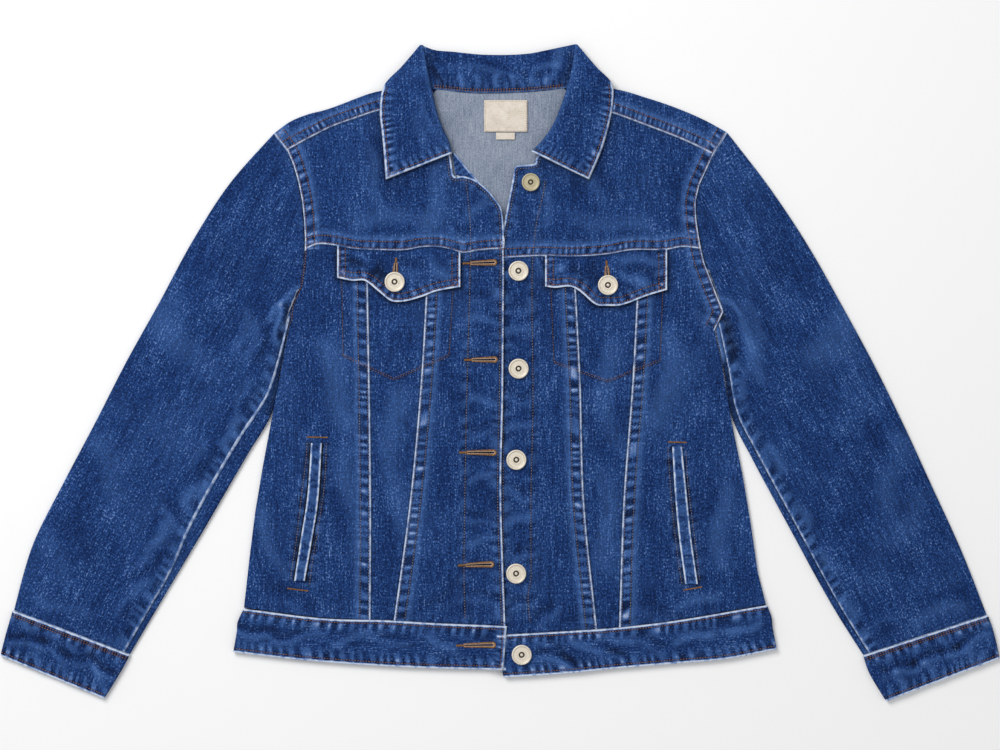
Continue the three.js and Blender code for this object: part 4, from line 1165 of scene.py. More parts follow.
@dataclass
class Back:
    """Back panel and the back yoke, which wraps forward over the shoulders."""

    wrap_start: float = 5.5
    wrap_pitch: float = 1.5

    def body(self, shop: Workshop) -> None:
        """Makes the back panel."""
        sides = {side: [*ARMHOLE[side][YOKE_SEAM:], *SIDE[side][1:]] for side in Side}
        right, left = sides[Side.RIGHT], sides[Side.LEFT]
        area = Patch(
            top=across(BACK_YOKE, right[0][0], left[0][0]),
            bottom=across(HEM_TOP_BACK, HEM_TOP_BACK[0][0], HEM_TOP_BACK[-1][0]),
            left=polyline(right),
            right=polyline(left),
        )
        cloth = Cloth("back_body", area, Spread(96), Spread(70), lambda x, y: 0 * x, inside_up=True, seed=11,
                      seams=back_seams())
        mesh = cloth.mesh()
        shop.sheet(mesh, "back_body", CLOTH, inside_out=True)

    def yoke(self, shop: Workshop) -> None:
        """Makes the back yoke with its two shoulder wraps."""
        top_line = [*SHOULDER[Side.RIGHT], *NECK[1:], *SHOULDER[Side.LEFT][1:]]
        area = Patch(
            top=across(top_line, SHOULDER[Side.RIGHT][0][0], SHOULDER[Side.LEFT][-1][0]),
            bottom=across(BACK_YOKE, BACK_YOKE[0][0], BACK_YOKE[-1][0]),
            left=polyline(ARMHOLE[Side.RIGHT][: YOKE_SEAM + 1]),
            right=polyline(ARMHOLE[Side.LEFT][: YOKE_SEAM + 1]),
        )
        columns, rows = 90, 40
        mesh = grid_mesh("under", columns, rows)
        column, row = grid_places(mesh, columns, rows)
        u = column / (columns - 1)
        upper = area.at(u, np.zeros_like(u))
        size = np.abs(area.at(u, np.ones_like(u)) - upper)
        start = np.where(np.abs(upper.real) < 57, 0.1, self.wrap_start)
        point = area.at(u, mix(start / size, 1 - 0.1 / size, row / (rows - 1)))
        x, y = point.real, point.imag
        set_points(mesh, x, y, neck_lift(x, y))
        worn, deep = self._inner_shade(x, y)
        set_wear(mesh, worn, deep)
        set_grain(mesh, x, y)
        face_up(mesh)
        mesh.flip_normals()
        whole = joined("back_yoke", [mesh, *[self._wrap(side) for side in Side]])
        shop.sheet(whole, "back_yoke", CLOTH)

    def _inner_shade(self, x: Array, y: Array) -> tuple[Array, Array]:
        """Wear and painted shade of the yoke's inner face, darker beside the facing and the label."""
        noise = Lattice(5)
        blotches = ease(noise.at(x / 12, y / 20), -0.2, 1)
        deep = 0.35 * ease(-y, -200, -150) * blotches + 0.25 * ease(np.abs(x), 30, 60)
        return np.zeros_like(x), deep

    def _wrap(self, side: Side) -> bpy.types.Mesh:
        """Makes the part that folds over one shoulder onto the front."""
        shoulder, forward = SHOULDER[side], FORWARD[side]
        is_right = side is Side.RIGHT
        outer, inner = (shoulder[0], shoulder[-1]) if is_right else (shoulder[-1], shoulder[0])
        seam_outer, seam_inner = (forward[0], forward[-1]) if is_right else (forward[-1], forward[0])
        edge = over(shoulder)
        seam = over(forward)
        side_x = over(ARMHOLE[side][: FORWARD_SEAM + 1], 1, 0)
        under = np.array([self.wrap_start, 4.9])
        angles = np.radians(np.linspace(-90, 90, 9))
        run = np.concatenate([np.zeros(2), np.ones(9), np.full(24, 2)])
        value = np.concatenate([under, angles, np.linspace(0.05, 1, 24)])
        columns = round(abs(outer[0] - inner[0]) / self.wrap_pitch)
        mesh = grid_mesh("wrap", columns, len(run))
        column, row = grid_places(mesh, columns, len(run))
        share = column / (columns - 1)
        top_x = mix(outer[0], inner[0], share)
        top = edge(top_x)
        level = neck_lift(top_x, top - 4) + CLOTH / 2
        over_level = front_rest(top_x, top - 4) + CLOTH / 2
        radius = (over_level - level) / 2
        centre = radius + CLOTH / 2
        reach = radius + CLOTH / 2
        inset = -side.out * (1 - share) * 0.1

        def beside(y: Array) -> Array:
            """Place across at this height along the armhole."""
            return mix(side_x(y), inner[0], share) + inset

        kind = run[row]
        amount = value[row]
        y_under = top - amount
        y_fold = top - centre + np.cos(amount) * reach
        seam_x = mix(seam_outer[0], seam_inner[0], share)
        y_over = mix(top - centre, seam(seam_x) + 0.1, amount)
        x_over = mix(beside(top - centre), seam_x + inset, amount)
        y = np.where(kind == 0, y_under, np.where(kind == 1, y_fold, y_over))
        x = np.where(kind == 2, x_over, beside(y))
        z_under = neck_lift(x, y)
        z_fold = (level + over_level) / 2 + np.sin(amount) * reach
        z_over = front_rest(x, y) + CLOTH
        z = np.where(kind == 0, z_under, np.where(kind == 1, z_fold, z_over))
        cloth = Cloth("wrap", quad(NECK, NECK, STAND_SIDE[Side.RIGHT], STAND_SIDE[Side.LEFT]), Spread(2), Spread(2),
                      front_rest, seams=[*armhole_seams(side), forward_seam(side)], seed=21)
        rise, worn, deep = cloth.relief(x, y)
        set_points(mesh, x, y, z + np.where(kind == 2, rise, 0))
        set_wear(mesh, np.where(kind == 0, 0, worn), np.where(kind == 0, 0, deep))
        set_grain(mesh, x, y)
        face_up(mesh)
        return mesh


def armhole_seams(side: Side) -> list[Seam]:
    """Seam of a sleeve, with the body on top; on the right it ends as a plain edge below the yoke."""
    rows = ARMHOLE[side]
    if side is Side.LEFT:
        return [Seam(traced(polyline(rows)), 32, flip=True, pitch=7.5, width=9.2, rows=(1.7, 8.2), on="")]
    return [
        Seam(traced(polyline(rows[: YOKE_SEAM + 1])), 30, pitch=7.5, width=9.2, rows=(1.7, 8.2), on=""),
        Seam(traced(polyline(rows[YOKE_SEAM:])), 34, Edge.PLAIN, pitch=9, worn=0.4, strength=0.35, rows=(1.2,)),
    ]


def forward_seam(side: Side) -> Seam:
    """Seam of the back yoke on the front."""
    first, last = FORWARD[side][0][0], FORWARD[side][-1][0]
    return Seam(traced(across(FORWARD[side], first, last)), 41 + side.out, pitch=4.6, width=8.8, rows=(1.6, 8.0),
                on="back_yoke")


def yoke_seam(side: Side) -> Seam:
    """Seam of the front yoke on the panels."""
    first, last = YOKE[side][0][0], YOKE[side][-1][0]
    return Seam(traced(across(YOKE[side], first, last)), 51 + side.out)


def wedge_seams(side: Side) -> tuple[Seam, Seam]:
    """Outer and inner seam of a wedge, with its neighbours on top."""
    outer = traced(down(WEDGE_OUTER[side], WEDGE_OUTER[side][0][1], WEDGE_OUTER[side][-1][1]))
    inner = traced(down(WEDGE_INNER[side], WEDGE_INNER[side][0][1], WEDGE_INNER[side][-1][1]))
    is_right = side is Side.RIGHT
    return (
        Seam(outer, 61 + side.out, flip=is_right, width=9.8, pitch=8.6, rows=(1.8, 9.0), thread="dull"),
        Seam(inner, 65 + side.out, flip=not is_right, width=9.8, pitch=8.6, rows=(1.8, 9.0), thread="dull"),
    )


def front_edge(side: Side) -> Seam:
    """Front edge of a front."""
    line = traced(down(FRONT_EDGE[side], FRONT_EDGE[side][0][1], FRONT_EDGE[side][-1][1]))
    return Seam(line, 71 + side.out, Edge.HEMMED, flip=side is Side.RIGHT, pitch=13, worn=0.8, rows=(3.2,),
                thread="dull", strength=0.7)


def neckline(side: Side) -> Seam:
    """Neckline and upper front edge of a front yoke."""
    return Seam(traced(spline(NECKLINE[side])), 75 + side.out, Edge.HEMMED, flip=side is Side.RIGHT, pitch=9,
                worn=0.8, rows=(3.2,), thread="dull", strength=0.6)


def hem_seam(side: Side) -> Seam:
    """Upper edge of the waistband on a front."""
    rows = HEM_TOP[side]
    return Seam(traced(across(rows, rows[0][0], rows[-1][0])), 81 + side.out, Edge.HEMMED, flip=True, pitch=9,
                rows=(2.9,), on="waistband")


def back_seams() -> list[Seam]:
    """Seams of the back panel: yoke, two long seams and the sleeves."""
    yoke = Seam(traced(across(BACK_YOKE, BACK_YOKE[0][0], BACK_YOKE[-1][0])), 91, on="back_yoke", below=True)
    long_right = Seam(traced(down([(-96, 106), (-88, -206)], 106, -206)), 92, flip=True, width=9.8, pitch=8.6,
                      rows=(1.8, 9.0), thread="dull", on="back", below=True)
    long_left = Seam(traced(down([(100, 106), (92, -206)], 106, -206)), 93, width=9.8, pitch=8.6,
                     rows=(1.8, 9.0), thread="dull", on="back", below=True)
    return [yoke, long_right, long_left]


# Creases of the fronts: the two ends, half width and height, below 0 for a trough
FRONT_CREASES = {
    Side.RIGHT: [
        (-37, 122, -34, 84, 2.6, -0.6), (-28, 118, -30, 100, 2, -0.5), (-12, 150, -26, 132, 4, 0.35),
        (-24, 66, -4, 69, 3.4, -0.45), (-26, 47, -6, 44, 4, 0.4), (-27, 16, -8, 18, 3.6, -0.4),
        (-25, -22, -5, -26, 4.2, 0.4), (-28, -48, -6, -44, 3.4, -0.45), (-26, -92, -8, -86, 4, 0.4),
        (-28, -118, -5, -122, 3.2, -0.5), (-27, -146, -6, -140, 4, 0.4), (-26, -186, -4, -190, 3.4, -0.45),
        (-60, -196, -34, -178, 5, -0.35), (-150, 20, -128, -40, 12, 0.3), (-196, -180, -160, -196, 6, -0.35),
        (-128, -70, -124, -150, 10, 0.25), (-92, -20, -86, -130, 11, 0.25), (-100, 190, -92, 150, 6, -0.4),
        (-52, 176, -62, 120, 8, 0.3), (-120, 128, -70, 134, 9, 0.25), (-205, -120, -186, -172, 6, 0.3),
    ],
    Side.LEFT: [
        (34, 118, 39, 84, 2.4, -0.55), (30, 176, 42, 128, 4, 0.3), (8, 60, 26, 57, 3.6, -0.4),
        (6, 34, 26, 38, 4, 0.4), (8, -16, 27, -20, 3.8, -0.45), (6, -48, 26, -44, 4, 0.4),
        (7, -96, 27, -102, 3.6, -0.45), (6, -128, 25, -122, 4, 0.4), (12, -152, 27, -148, 3.2, -0.6),
        (6, -196, 27, -190, 3.4, -0.6), (32, -206, 44, -196, 4.5, -0.6), (58, -212, 80, -206, 4, -0.35),
        (128, -196, 150, -208, 5, -0.45), (150, -200, 182, -190, 5, 0.4), (90, 20, 96, -60, 10, 0.25),
        (88, -90, 90, -160, 10, 0.25), (144, 30, 136, -40, 12, 0.3), (190, -100, 186, -160, 8, 0.3),
        (84, 190, 96, 150, 6, -0.4), (66, 130, 120, 124, 9, 0.25), (174, 56, 182, 40, 4, -0.5),
    ],
}


@dataclass
class Front:
    """One front: yoke, side panel, wedge and centre panel, with the placket along its edge."""

    side: Side
    pitch: float = 1.75

    def rest(self, x: Array, y: Array) -> Array:
        """Height of the lower face."""
        lap = centre_lap(x) if self.side is Side.RIGHT else 0.0
        return front_rest(x, y) + lap

    def placket(self, x: Array, y: Array) -> Array:
        """Rise of the doubled cloth along the front edge."""
        inward = x if self.side is Side.RIGHT else -x
        return FELL_RISE * ease(inward, -PLACKET_WIDTH, 4 - PLACKET_WIDTH)

    def build(self, shop: Workshop) -> None:
        """Makes the four panels."""
        self._yoke(shop)
        self._side(shop)
        self._wedge(shop)
        self._centre(shop)

    def _panel(self, shop: Workshop, name: str, area: Patch, spreads: tuple[Spread, Spread], seams: Sequence[Seam],
               rise: Height | None = None) -> None:
        """Makes one panel."""
        full_name = f"{name}_{self.side.value}"
        cloth = Cloth(full_name, area, spreads[0], spreads[1], self.rest, seams=seams, rise=rise,
                      creases=FRONT_CREASES[self.side], seed=len(name) + 3 * self.side.out + 100,
                      painted_shadows=self.painted_shadows())
        mesh = cloth.mesh()
        face_up(mesh)
        shop.sheet(mesh, full_name, CLOTH)

    def painted_shadows(self) -> list[PaintedShadow]:
        """Painted shadows beside the edges of what lies on this front: collar falls, flap, welt slits and
        buttonholes, and on the left front the right front's edge and neckline.
        """
        side = self.side
        welt = ruled(WELTS[side])
        falls = [seam.line for seam in Collar().fall_seams(side)]
        lines = [PaintedShadow(line, reach, shadow_darkness) for line in falls for reach, shadow_darkness in ((4, 0.7), (11, 0.4))]
        lines.append(PaintedShadow(Pocket(side).flap_outline(), 4.0, 0.85))
        lines.extend(PaintedShadow(line(np.linspace(0, 1, 16)), 1.9, 0.95) for line in (welt.left, welt.right))
        holes = [hole for hole in HOLES if (hole[0][0] < PICTURE_MIDDLE[0]) == (side is Side.RIGHT)]
        lines.extend(PaintedShadow(seen(hole), 4.2, 0.9) for hole in holes)
        if side is Side.LEFT:
            lines.append(PaintedShadow(front_edge(Side.RIGHT).line, 4.5, 0.75))
            lines.append(PaintedShadow(neckline(Side.RIGHT).line, 4.0, 0.5))
        return lines

    def _yoke(self, shop: Workshop) -> None:
        """Makes the yoke."""
        side = self.side
        is_right = side is Side.RIGHT
        armhole = ARMHOLE[side][FORWARD_SEAM : YOKE_SEAM + 1]
        forward = FORWARD[side]
        yoke = YOKE[side]
        area = Patch(
            top=across(forward, forward[0][0], forward[-1][0]),
            bottom=across(yoke, yoke[0][0], yoke[-1][0]),
            left=polyline(armhole if is_right else NECKLINE[side]),
            right=polyline(NECKLINE[side] if is_right else armhole),
        )
        seams = [*armhole_seams(side), forward_seam(side), yoke_seam(side), neckline(side), placket_seam(side)]
        self._panel(shop, "front_yoke", area, (spread(130, self.pitch), spread(100, self.pitch)), seams,
                    self.placket)

    def _side(self, shop: Workshop) -> None:
        """Makes the side panel."""
        side = self.side
        is_right = side is Side.RIGHT
        arm_rows = [*ARMHOLE[side][YOKE_SEAM:], *SIDE[side][1:]]
        top, hem, wedge = YOKE[side], HEM_TOP[side], WEDGE_OUTER[side]
        corner_top, corner_bottom = meet(top, wedge), meet(hem, wedge)
        seam_line = down(wedge, corner_top.imag, corner_bottom.imag)
        arm_line = polyline(arm_rows)
        ends = [(arm_rows[0][0], corner_top.real), (arm_rows[-1][0], corner_bottom.real)]
        if not is_right:
            ends = [(last, first) for first, last in ends]
        area = Patch(
            top=across(top, *ends[0]),
            bottom=across(hem, *ends[1]),
            left=arm_line if is_right else seam_line,
            right=seam_line if is_right else arm_line,
        )
        seams = [*armhole_seams(side), yoke_seam(side), wedge_seams(side)[0], hem_seam(side), chest_seam(side),
                 *hand_seams(side)]
        self._panel(shop, "front_side", area, (spread(80, 2.0), spread(310, self.pitch)), seams)

    def _wedge(self, shop: Workshop) -> None:
        """Makes the wedge."""
        side = self.side
        lines = (WEDGE_OUTER[side], WEDGE_INNER[side])
        left, right = lines if side is Side.RIGHT else lines[::-1]
        area = quad(YOKE[side], HEM_TOP[side], left, right)
        seams = [yoke_seam(side), *wedge_seams(side), hem_seam(side), chest_seam(side)]
        self._panel(shop, "front_wedge", area, (spread(45, 1.6), spread(315, self.pitch)), seams)

    def _centre(self, shop: Workshop) -> None:
        """Makes the centre panel."""
        side = self.side
        lines = (WEDGE_INNER[side], FRONT_EDGE[side])
        left, right = lines if side is Side.RIGHT else lines[::-1]
        area = quad(YOKE[side], HEM_TOP[side], left, right)
        seams = [yoke_seam(side), wedge_seams(side)[1], front_edge(side), hem_seam(side), placket_seam(side),
                 chest_seam(side)]
        self._panel(shop, "front_centre", area, (spread(80, 1.5), spread(320, self.pitch)), seams,
                    self.placket)


class Run(Enum):
    """Where a column of a band lies."""

    OVER = 0
    FOLD = 1
    UNDER = 2


@dataclass(frozen=True)
class Course:
    """Columns of cloth that goes round an edge: for each, where it lies and its share or angle."""

    run: Array
    value: Array
    part: Array

    @staticmethod
    def of(*parts: tuple[Run, float, float, int, int]) -> "Course":
        """Course of these stretches, each with its first and last value, its count and its part number."""
        run = np.concatenate([np.full(count, kind.value) for kind, _, _, count, _ in parts])
        value = np.concatenate([np.linspace(first, last, count) for _, first, last, count, _ in parts])
        part = np.concatenate([np.full(count, number) for _, _, _, count, number in parts])
        return Course(run, value, part)


def fold_point(low: Array, high: Array, thickness: float, angle: Array) -> tuple[Array, Array]:
    """Outer face of a fold between two layers: distance in from the outline, and height."""
    radius = (high - low) / 2
    reach = radius + thickness / 2
    return radius + thickness / 2 - np.cos(angle) * reach, (low + high) / 2 + np.sin(angle) * reach


# Creases of the sleeves: the two ends, half width and height, below 0 for a trough
SLEEVE_CREASES = {
    Side.RIGHT: [
        (-181.9, 57, -185, 30, 2.8, -1.4), (-173, 72, -185.3, 60.4, 2.6, 0.5), (-185.3, 60.4, -200, 42.5, 2.8, 0.45),
        (-196, 38, -204, 12, 5, -0.6), (-214, 50, -222, 22, 6, 0.3), (-206, -12, -216, -36, 5, -0.45),
        (-222, -40, -236, -60, 5, 0.4), (-244, -66, -254, -84, 5, -0.4), (-250, -92, -268, -108, 6, 0.4),
        (-278, -112, -270, -128, 4, -0.45), (-284, -130, -292, -144, 5, 0.4), (-290, -156, -298, -170, 5, -0.45),
        (-300, -176, -312, -188, 5, 0.4), (-312, -196, -318, -208, 4, -0.4), (-300, 60, -270, 20, 14, 0.25),
        (-340, -60, -330, -100, 12, 0.25), (-372, -120, -350, -160, 12, -0.2), (-240, 120, -228, 80, 10, -0.2),
        (-392, -192, -350, -208, 6, 0.25), (-340, -214, -322, -222, 5, -0.3),
    ],
    Side.LEFT: [
        (187.9, 63.8, 204, 52, 2.8, 0.55), (188, 50, 196, 22, 5, -1.4), (196, 22, 194, -16, 4.5, -1.1),
        (207, 44, 209, -20, 5, 0.4), (220, 60, 232, 36, 5, -0.35), (214, 24, 222, -4, 6, 0.3),
        (212, -40, 220, -60, 5, -0.45), (226, -62, 240, -80, 5, 0.4), (238, -92, 246, -110, 5, -0.4),
        (250, -112, 262, -126, 5, 0.4), (260, -138, 268, -152, 4, -0.45), (272, -154, 284, -168, 5, 0.4),
        (280, -180, 290, -192, 4, -0.45), (292, -194, 300, -206, 5, 0.4), (300, 50, 268, 16, 14, 0.25),
        (340, -60, 326, -104, 12, 0.25), (376, -122, 350, -158, 12, -0.2), (236, 124, 226, 84, 10, -0.2),
        (392, -196, 352, -210, 6, 0.25), (336, -216, 318, -224, 5, -0.3),
    ],
}


@dataclass
class Sleeve:
    """One sleeve: a top piece round the outer edge and an under piece round the inner edge."""

    side: Side
    over_columns: int = 70
    under_columns: int = 14
    row_count: int = 220

    def __post_init__(self) -> None:
        """Works out the sleeve's patch and its sections."""
        sections = SLEEVE[self.side]
        body = ruled(sections)
        self.area = Patch(
            top=polyline(ARMHOLE[self.side]),
            bottom=lambda u: body.at(u, np.ones_like(u)),
            left=spline(sections),
            right=spline(sections, 2, 3),
        )
        along = [(i / (len(sections) - 1), row[4], row[5]) for i, row in enumerate(sections)]
        self.height_at = over(along, 0, 1)
        self.inseam_at = over(along, 0, 2)

    def level(self, u: Array, v: Array) -> Array:
        """Height of the upper layer's middle."""
        point = self.area.at(u, v)
        x, y = point.real, point.imag
        round_share = mix(0.62, 1, np.minimum(1, 4 * u * (1 - u) * 1.6))
        free = (self.height_at(v) - CLOTH / 2) * round_share + crest_sum(x, y, FOLDS) * ease(v, 0.04, 0.2)
        return mix(front_rest(x, y) + CLOTH / 2, free, ease(v, 0, 0.12))

    def inseam(self, v: Array) -> Array:
        """Share across at which the inseam lies."""
        return 1 - self.inseam_at(v) / self.area.width(v)

    def place(self, course: Course, inner: bool, column: Array, row: Array) -> tuple[Array, Array, Array, Array]:
        """Point of the outer face, and 1 where it is on the upper layer."""
        inset = 0.1 / self.area.height(0.5)
        v = mix(inset, 1 - inset, row / (self.row_count - 1))
        width = self.area.width(v)
        edge_u = np.full_like(v, 1.0 if inner else 0.0)
        edge_level = self.level(edge_u, v)
        start = (edge_level - CLOTH / 2) / 2 + CLOTH / 2
        near = start / width
        run = course.run[column]
        value = course.value[column]
        sign = 1 if inner else -1
        over_end = 1 - near if inner else near
        seam_u = self.inseam(v) + sign * 0.1 / width
        u_over = mix(seam_u, over_end, value)
        hidden = UNDER_SEAM / (len(ARMHOLE[self.side]) - 1) + sign * 0.001
        u_under = mix(over_end, hidden, value)
        distance, z_fold = fold_point(np.full_like(v, CLOTH / 2), edge_level, CLOTH, np.where(run == 1, value, 0))
        u_fold = 1 - distance / width if inner else distance / width
        u = np.where(run == 0, u_over, np.where(run == 1, u_fold, u_under))
        point = self.area.at(u, v)
        from_edge = np.minimum(u, 1 - u) * width - start
        z_over = mix(edge_level, self.level(u, v), ease(from_edge, 0, 12)) + CLOTH / 2
        z = np.where(run == 0, z_over, np.where(run == 1, z_fold, 0.0))
        return point.real, point.imag, z, (run == 0) * ease(from_edge, -1, 4)

    def seams(self) -> list[Seam]:
        """Seams that show on the sleeve."""
        v = np.linspace(0, 1, 60)
        inseam = self.area.at(self.inseam(v), v)
        cuff = CUFFS[self.side][0]
        cuff_line = traced(polyline([cuff[:2], cuff[2:]]))
        is_right = self.side is Side.RIGHT
        return [
            *armhole_seams(self.side),
            Seam(inseam, 131 + self.side.out, Edge.HEMMED, flip=is_right, pitch=12, strength=0.8, worn=0.8, rows=()),
            Seam(cuff_line, 141 + self.side.out, Edge.HEMMED, flip=is_right, pitch=9, rows=()),
        ]

    def build(self, shop: Workshop) -> None:
        """Makes both pieces."""
        quarter = math.radians(80)
        top = Course.of((Run.OVER, 0, 1, self.over_columns, 0), (Run.FOLD, quarter, -quarter, 8, 0),
                        (Run.UNDER, 0, 1, self.under_columns, 0))
        under = Course.of((Run.OVER, 0, 1, 12, 0), (Run.FOLD, quarter, -quarter, 8, 0),
                          (Run.UNDER, 0, 1, 22, 0))
        self._piece(shop, "sleeve_top", top, False)
        self._piece(shop, "sleeve_under", under, True)

    def _piece(self, shop: Workshop, name: str, course: Course, inner: bool) -> None:
        """Makes one piece of the sleeve."""
        columns = len(course.run)
        full_name = f"{name}_{self.side.value}"
        mesh = grid_mesh(full_name, columns, self.row_count)
        column, row = grid_places(mesh, columns, self.row_count)
        x, y, z, on_top = self.place(course, inner, column, row)
        # Painted shadow on the sleeve along the body's side edge, in the hollow at the armpit.
        body_edge_shadow = PaintedShadow(traced(polyline(SIDE[self.side][:4])), 6.5, 0.9)
        relief = Cloth(name, self.area, Spread(2), Spread(2), front_rest, seams=self.seams(),
                       creases=SLEEVE_CREASES[self.side], seed=151 + self.side.out, painted_shadows=[body_edge_shadow])
        rise, worn, deep = relief.relief(x, y)
        set_points(mesh, x, y, z + rise * on_top)
        set_wear(mesh, worn, deep)
        sections = SLEEVE[self.side]
        axis = complex(sections[-1][0] - sections[1][0], sections[-1][1] - sections[1][1])
        grain = (x + 1j * y) * (-1j) * abs(axis) / axis
        set_grain(mesh, grain.real, grain.imag)
        face_up(mesh)
        shop.sheet(mesh, full_name, CLOTH)


# Creases of the cuffs: the two ends, half width and height, below 0 for a trough
CUFF_CREASES = {
    Side.RIGHT: [
        (-416, -222, -388, -228, 3.4, -0.8), (-388, -228, -352, -244, 3.4, -0.75),
        (-350, -240, -326, -256, 3.2, -0.85),
        (-404, -212, -400, -222, 3.6, 0.5), (-384, -222, -378, -234, 3.6, 0.5), (-366, -232, -360, -242, 3.4, 0.45),
        (-396, -240, -390, -252, 4, 0.4), (-372, -250, -366, -262, 4, 0.35), (-344, -252, -338, -266, 4, 0.4),
    ],
    Side.LEFT: [
        (326, -252, 352, -246, 3.4, -0.75), (352, -246, 388, -230, 3.4, -0.8), (388, -232, 412, -216, 3.2, -0.7),
        (330, -244, 336, -254, 3.6, 0.5), (352, -236, 360, -246, 3.6, 0.5), (376, -226, 382, -238, 3.4, 0.45),
        (340, -262, 346, -272, 4, 0.4), (366, -252, 374, -262, 4, 0.4), (398, -236, 404, -248, 4, 0.4),
    ],
}


@dataclass
class CuffBand:
    """One cuff: a band round the sleeve's end, its ends meeting underneath."""

    side: Side

    def seams(self) -> list[Seam]:
        """Upper edge and hem."""
        rows = CUFFS[self.side]
        is_right = self.side is Side.RIGHT
        top_line = traced(polyline([rows[0][:2], rows[0][2:]]))
        hem_line = traced(polyline([rows[-1][:2], rows[-1][2:]]))
        return [
            Seam(top_line, 161 + self.side.out, Edge.HEMMED, flip=is_right, pitch=9.5, rows=(2.9, 4.6),
                 on="cuff"),
            Seam(hem_line, 165 + self.side.out, Edge.HEMMED, flip=not is_right, pitch=9, rows=(3.4,),
                 on="cuff"),
        ]

    def build(self, shop: Workshop) -> None:
        """Makes the cuff."""
        rows = CUFFS[self.side]
        area = ruled(rows)
        level = CUFF * 1.5 + GAP
        quarter = math.radians(80)
        course = Course.of(
            (Run.UNDER, 0.502, 1, 18, 1), (Run.FOLD, -quarter, quarter, 8, 1), (Run.OVER, 1, 0, 80, 1),
            (Run.FOLD, quarter, -quarter, 8, 0), (Run.UNDER, 0, 0.498, 18, 0),
        )
        spreads = Spread(12, NEAR, NEAR)
        columns = len(course.run)
        name = f"cuff_{self.side.value}"
        mesh = grid_mesh(name, columns, spreads.count)
        column, row = grid_places(mesh, columns, spreads.count)
        v = spreads.at(row, area.height(0.5))
        width = area.width(v)
        start = (level - CUFF / 2) / 2 + CUFF / 2
        run, value = course.run[column], course.value[column]
        angle = np.where(run == 1, value, 0)
        distance, z_fold = fold_point(np.full_like(v, CUFF / 2), np.full_like(v, level), CUFF, angle)
        u_flat = mix(start / width, 1 - start / width, value)
        u = np.where(run == 1, np.where(course.part[column] == 1, 1 - distance / width, distance / width), u_flat)
        point = area.at(u, v)
        x, y = point.real, point.imag
        relief = Cloth(name, area, Spread(2), Spread(2), front_rest, seams=self.seams(), seed=171 + self.side.out,
                       creases=CUFF_CREASES[self.side])
        rise, worn, deep = relief.relief(x, y)
        z = np.where(run == 0, level + CUFF / 2 + rise, np.where(run == 1, z_fold, 0.0))
        rim = np.minimum(v, 1 - v) * area.height(0.5)
        z = z - np.where(run == 0, rounding(rim, 1.0), 0) + np.where(run == 2, rounding(rim, 1.0), 0)
        set_points(mesh, x, y, z)
        set_wear(mesh, worn, deep)
        axis = complex(rows[-1][0] - rows[0][0], rows[-1][1] - rows[0][1])
        grain = (x + 1j * y) * (-1j) * abs(axis) / axis
        set_grain(mesh, grain.real, grain.imag)
        face_up(mesh, up=False)
        shop.sheet(mesh, name, CUFF)


def rounding(distance: Array, radius: float) -> Array:
    """How far a rounded rim lies below its flat face, at a distance in from the rim."""
    inside = np.clip(radius - distance, 0, radius)
    return radius - np.sqrt(np.maximum(radius**2 - inside**2, 0))


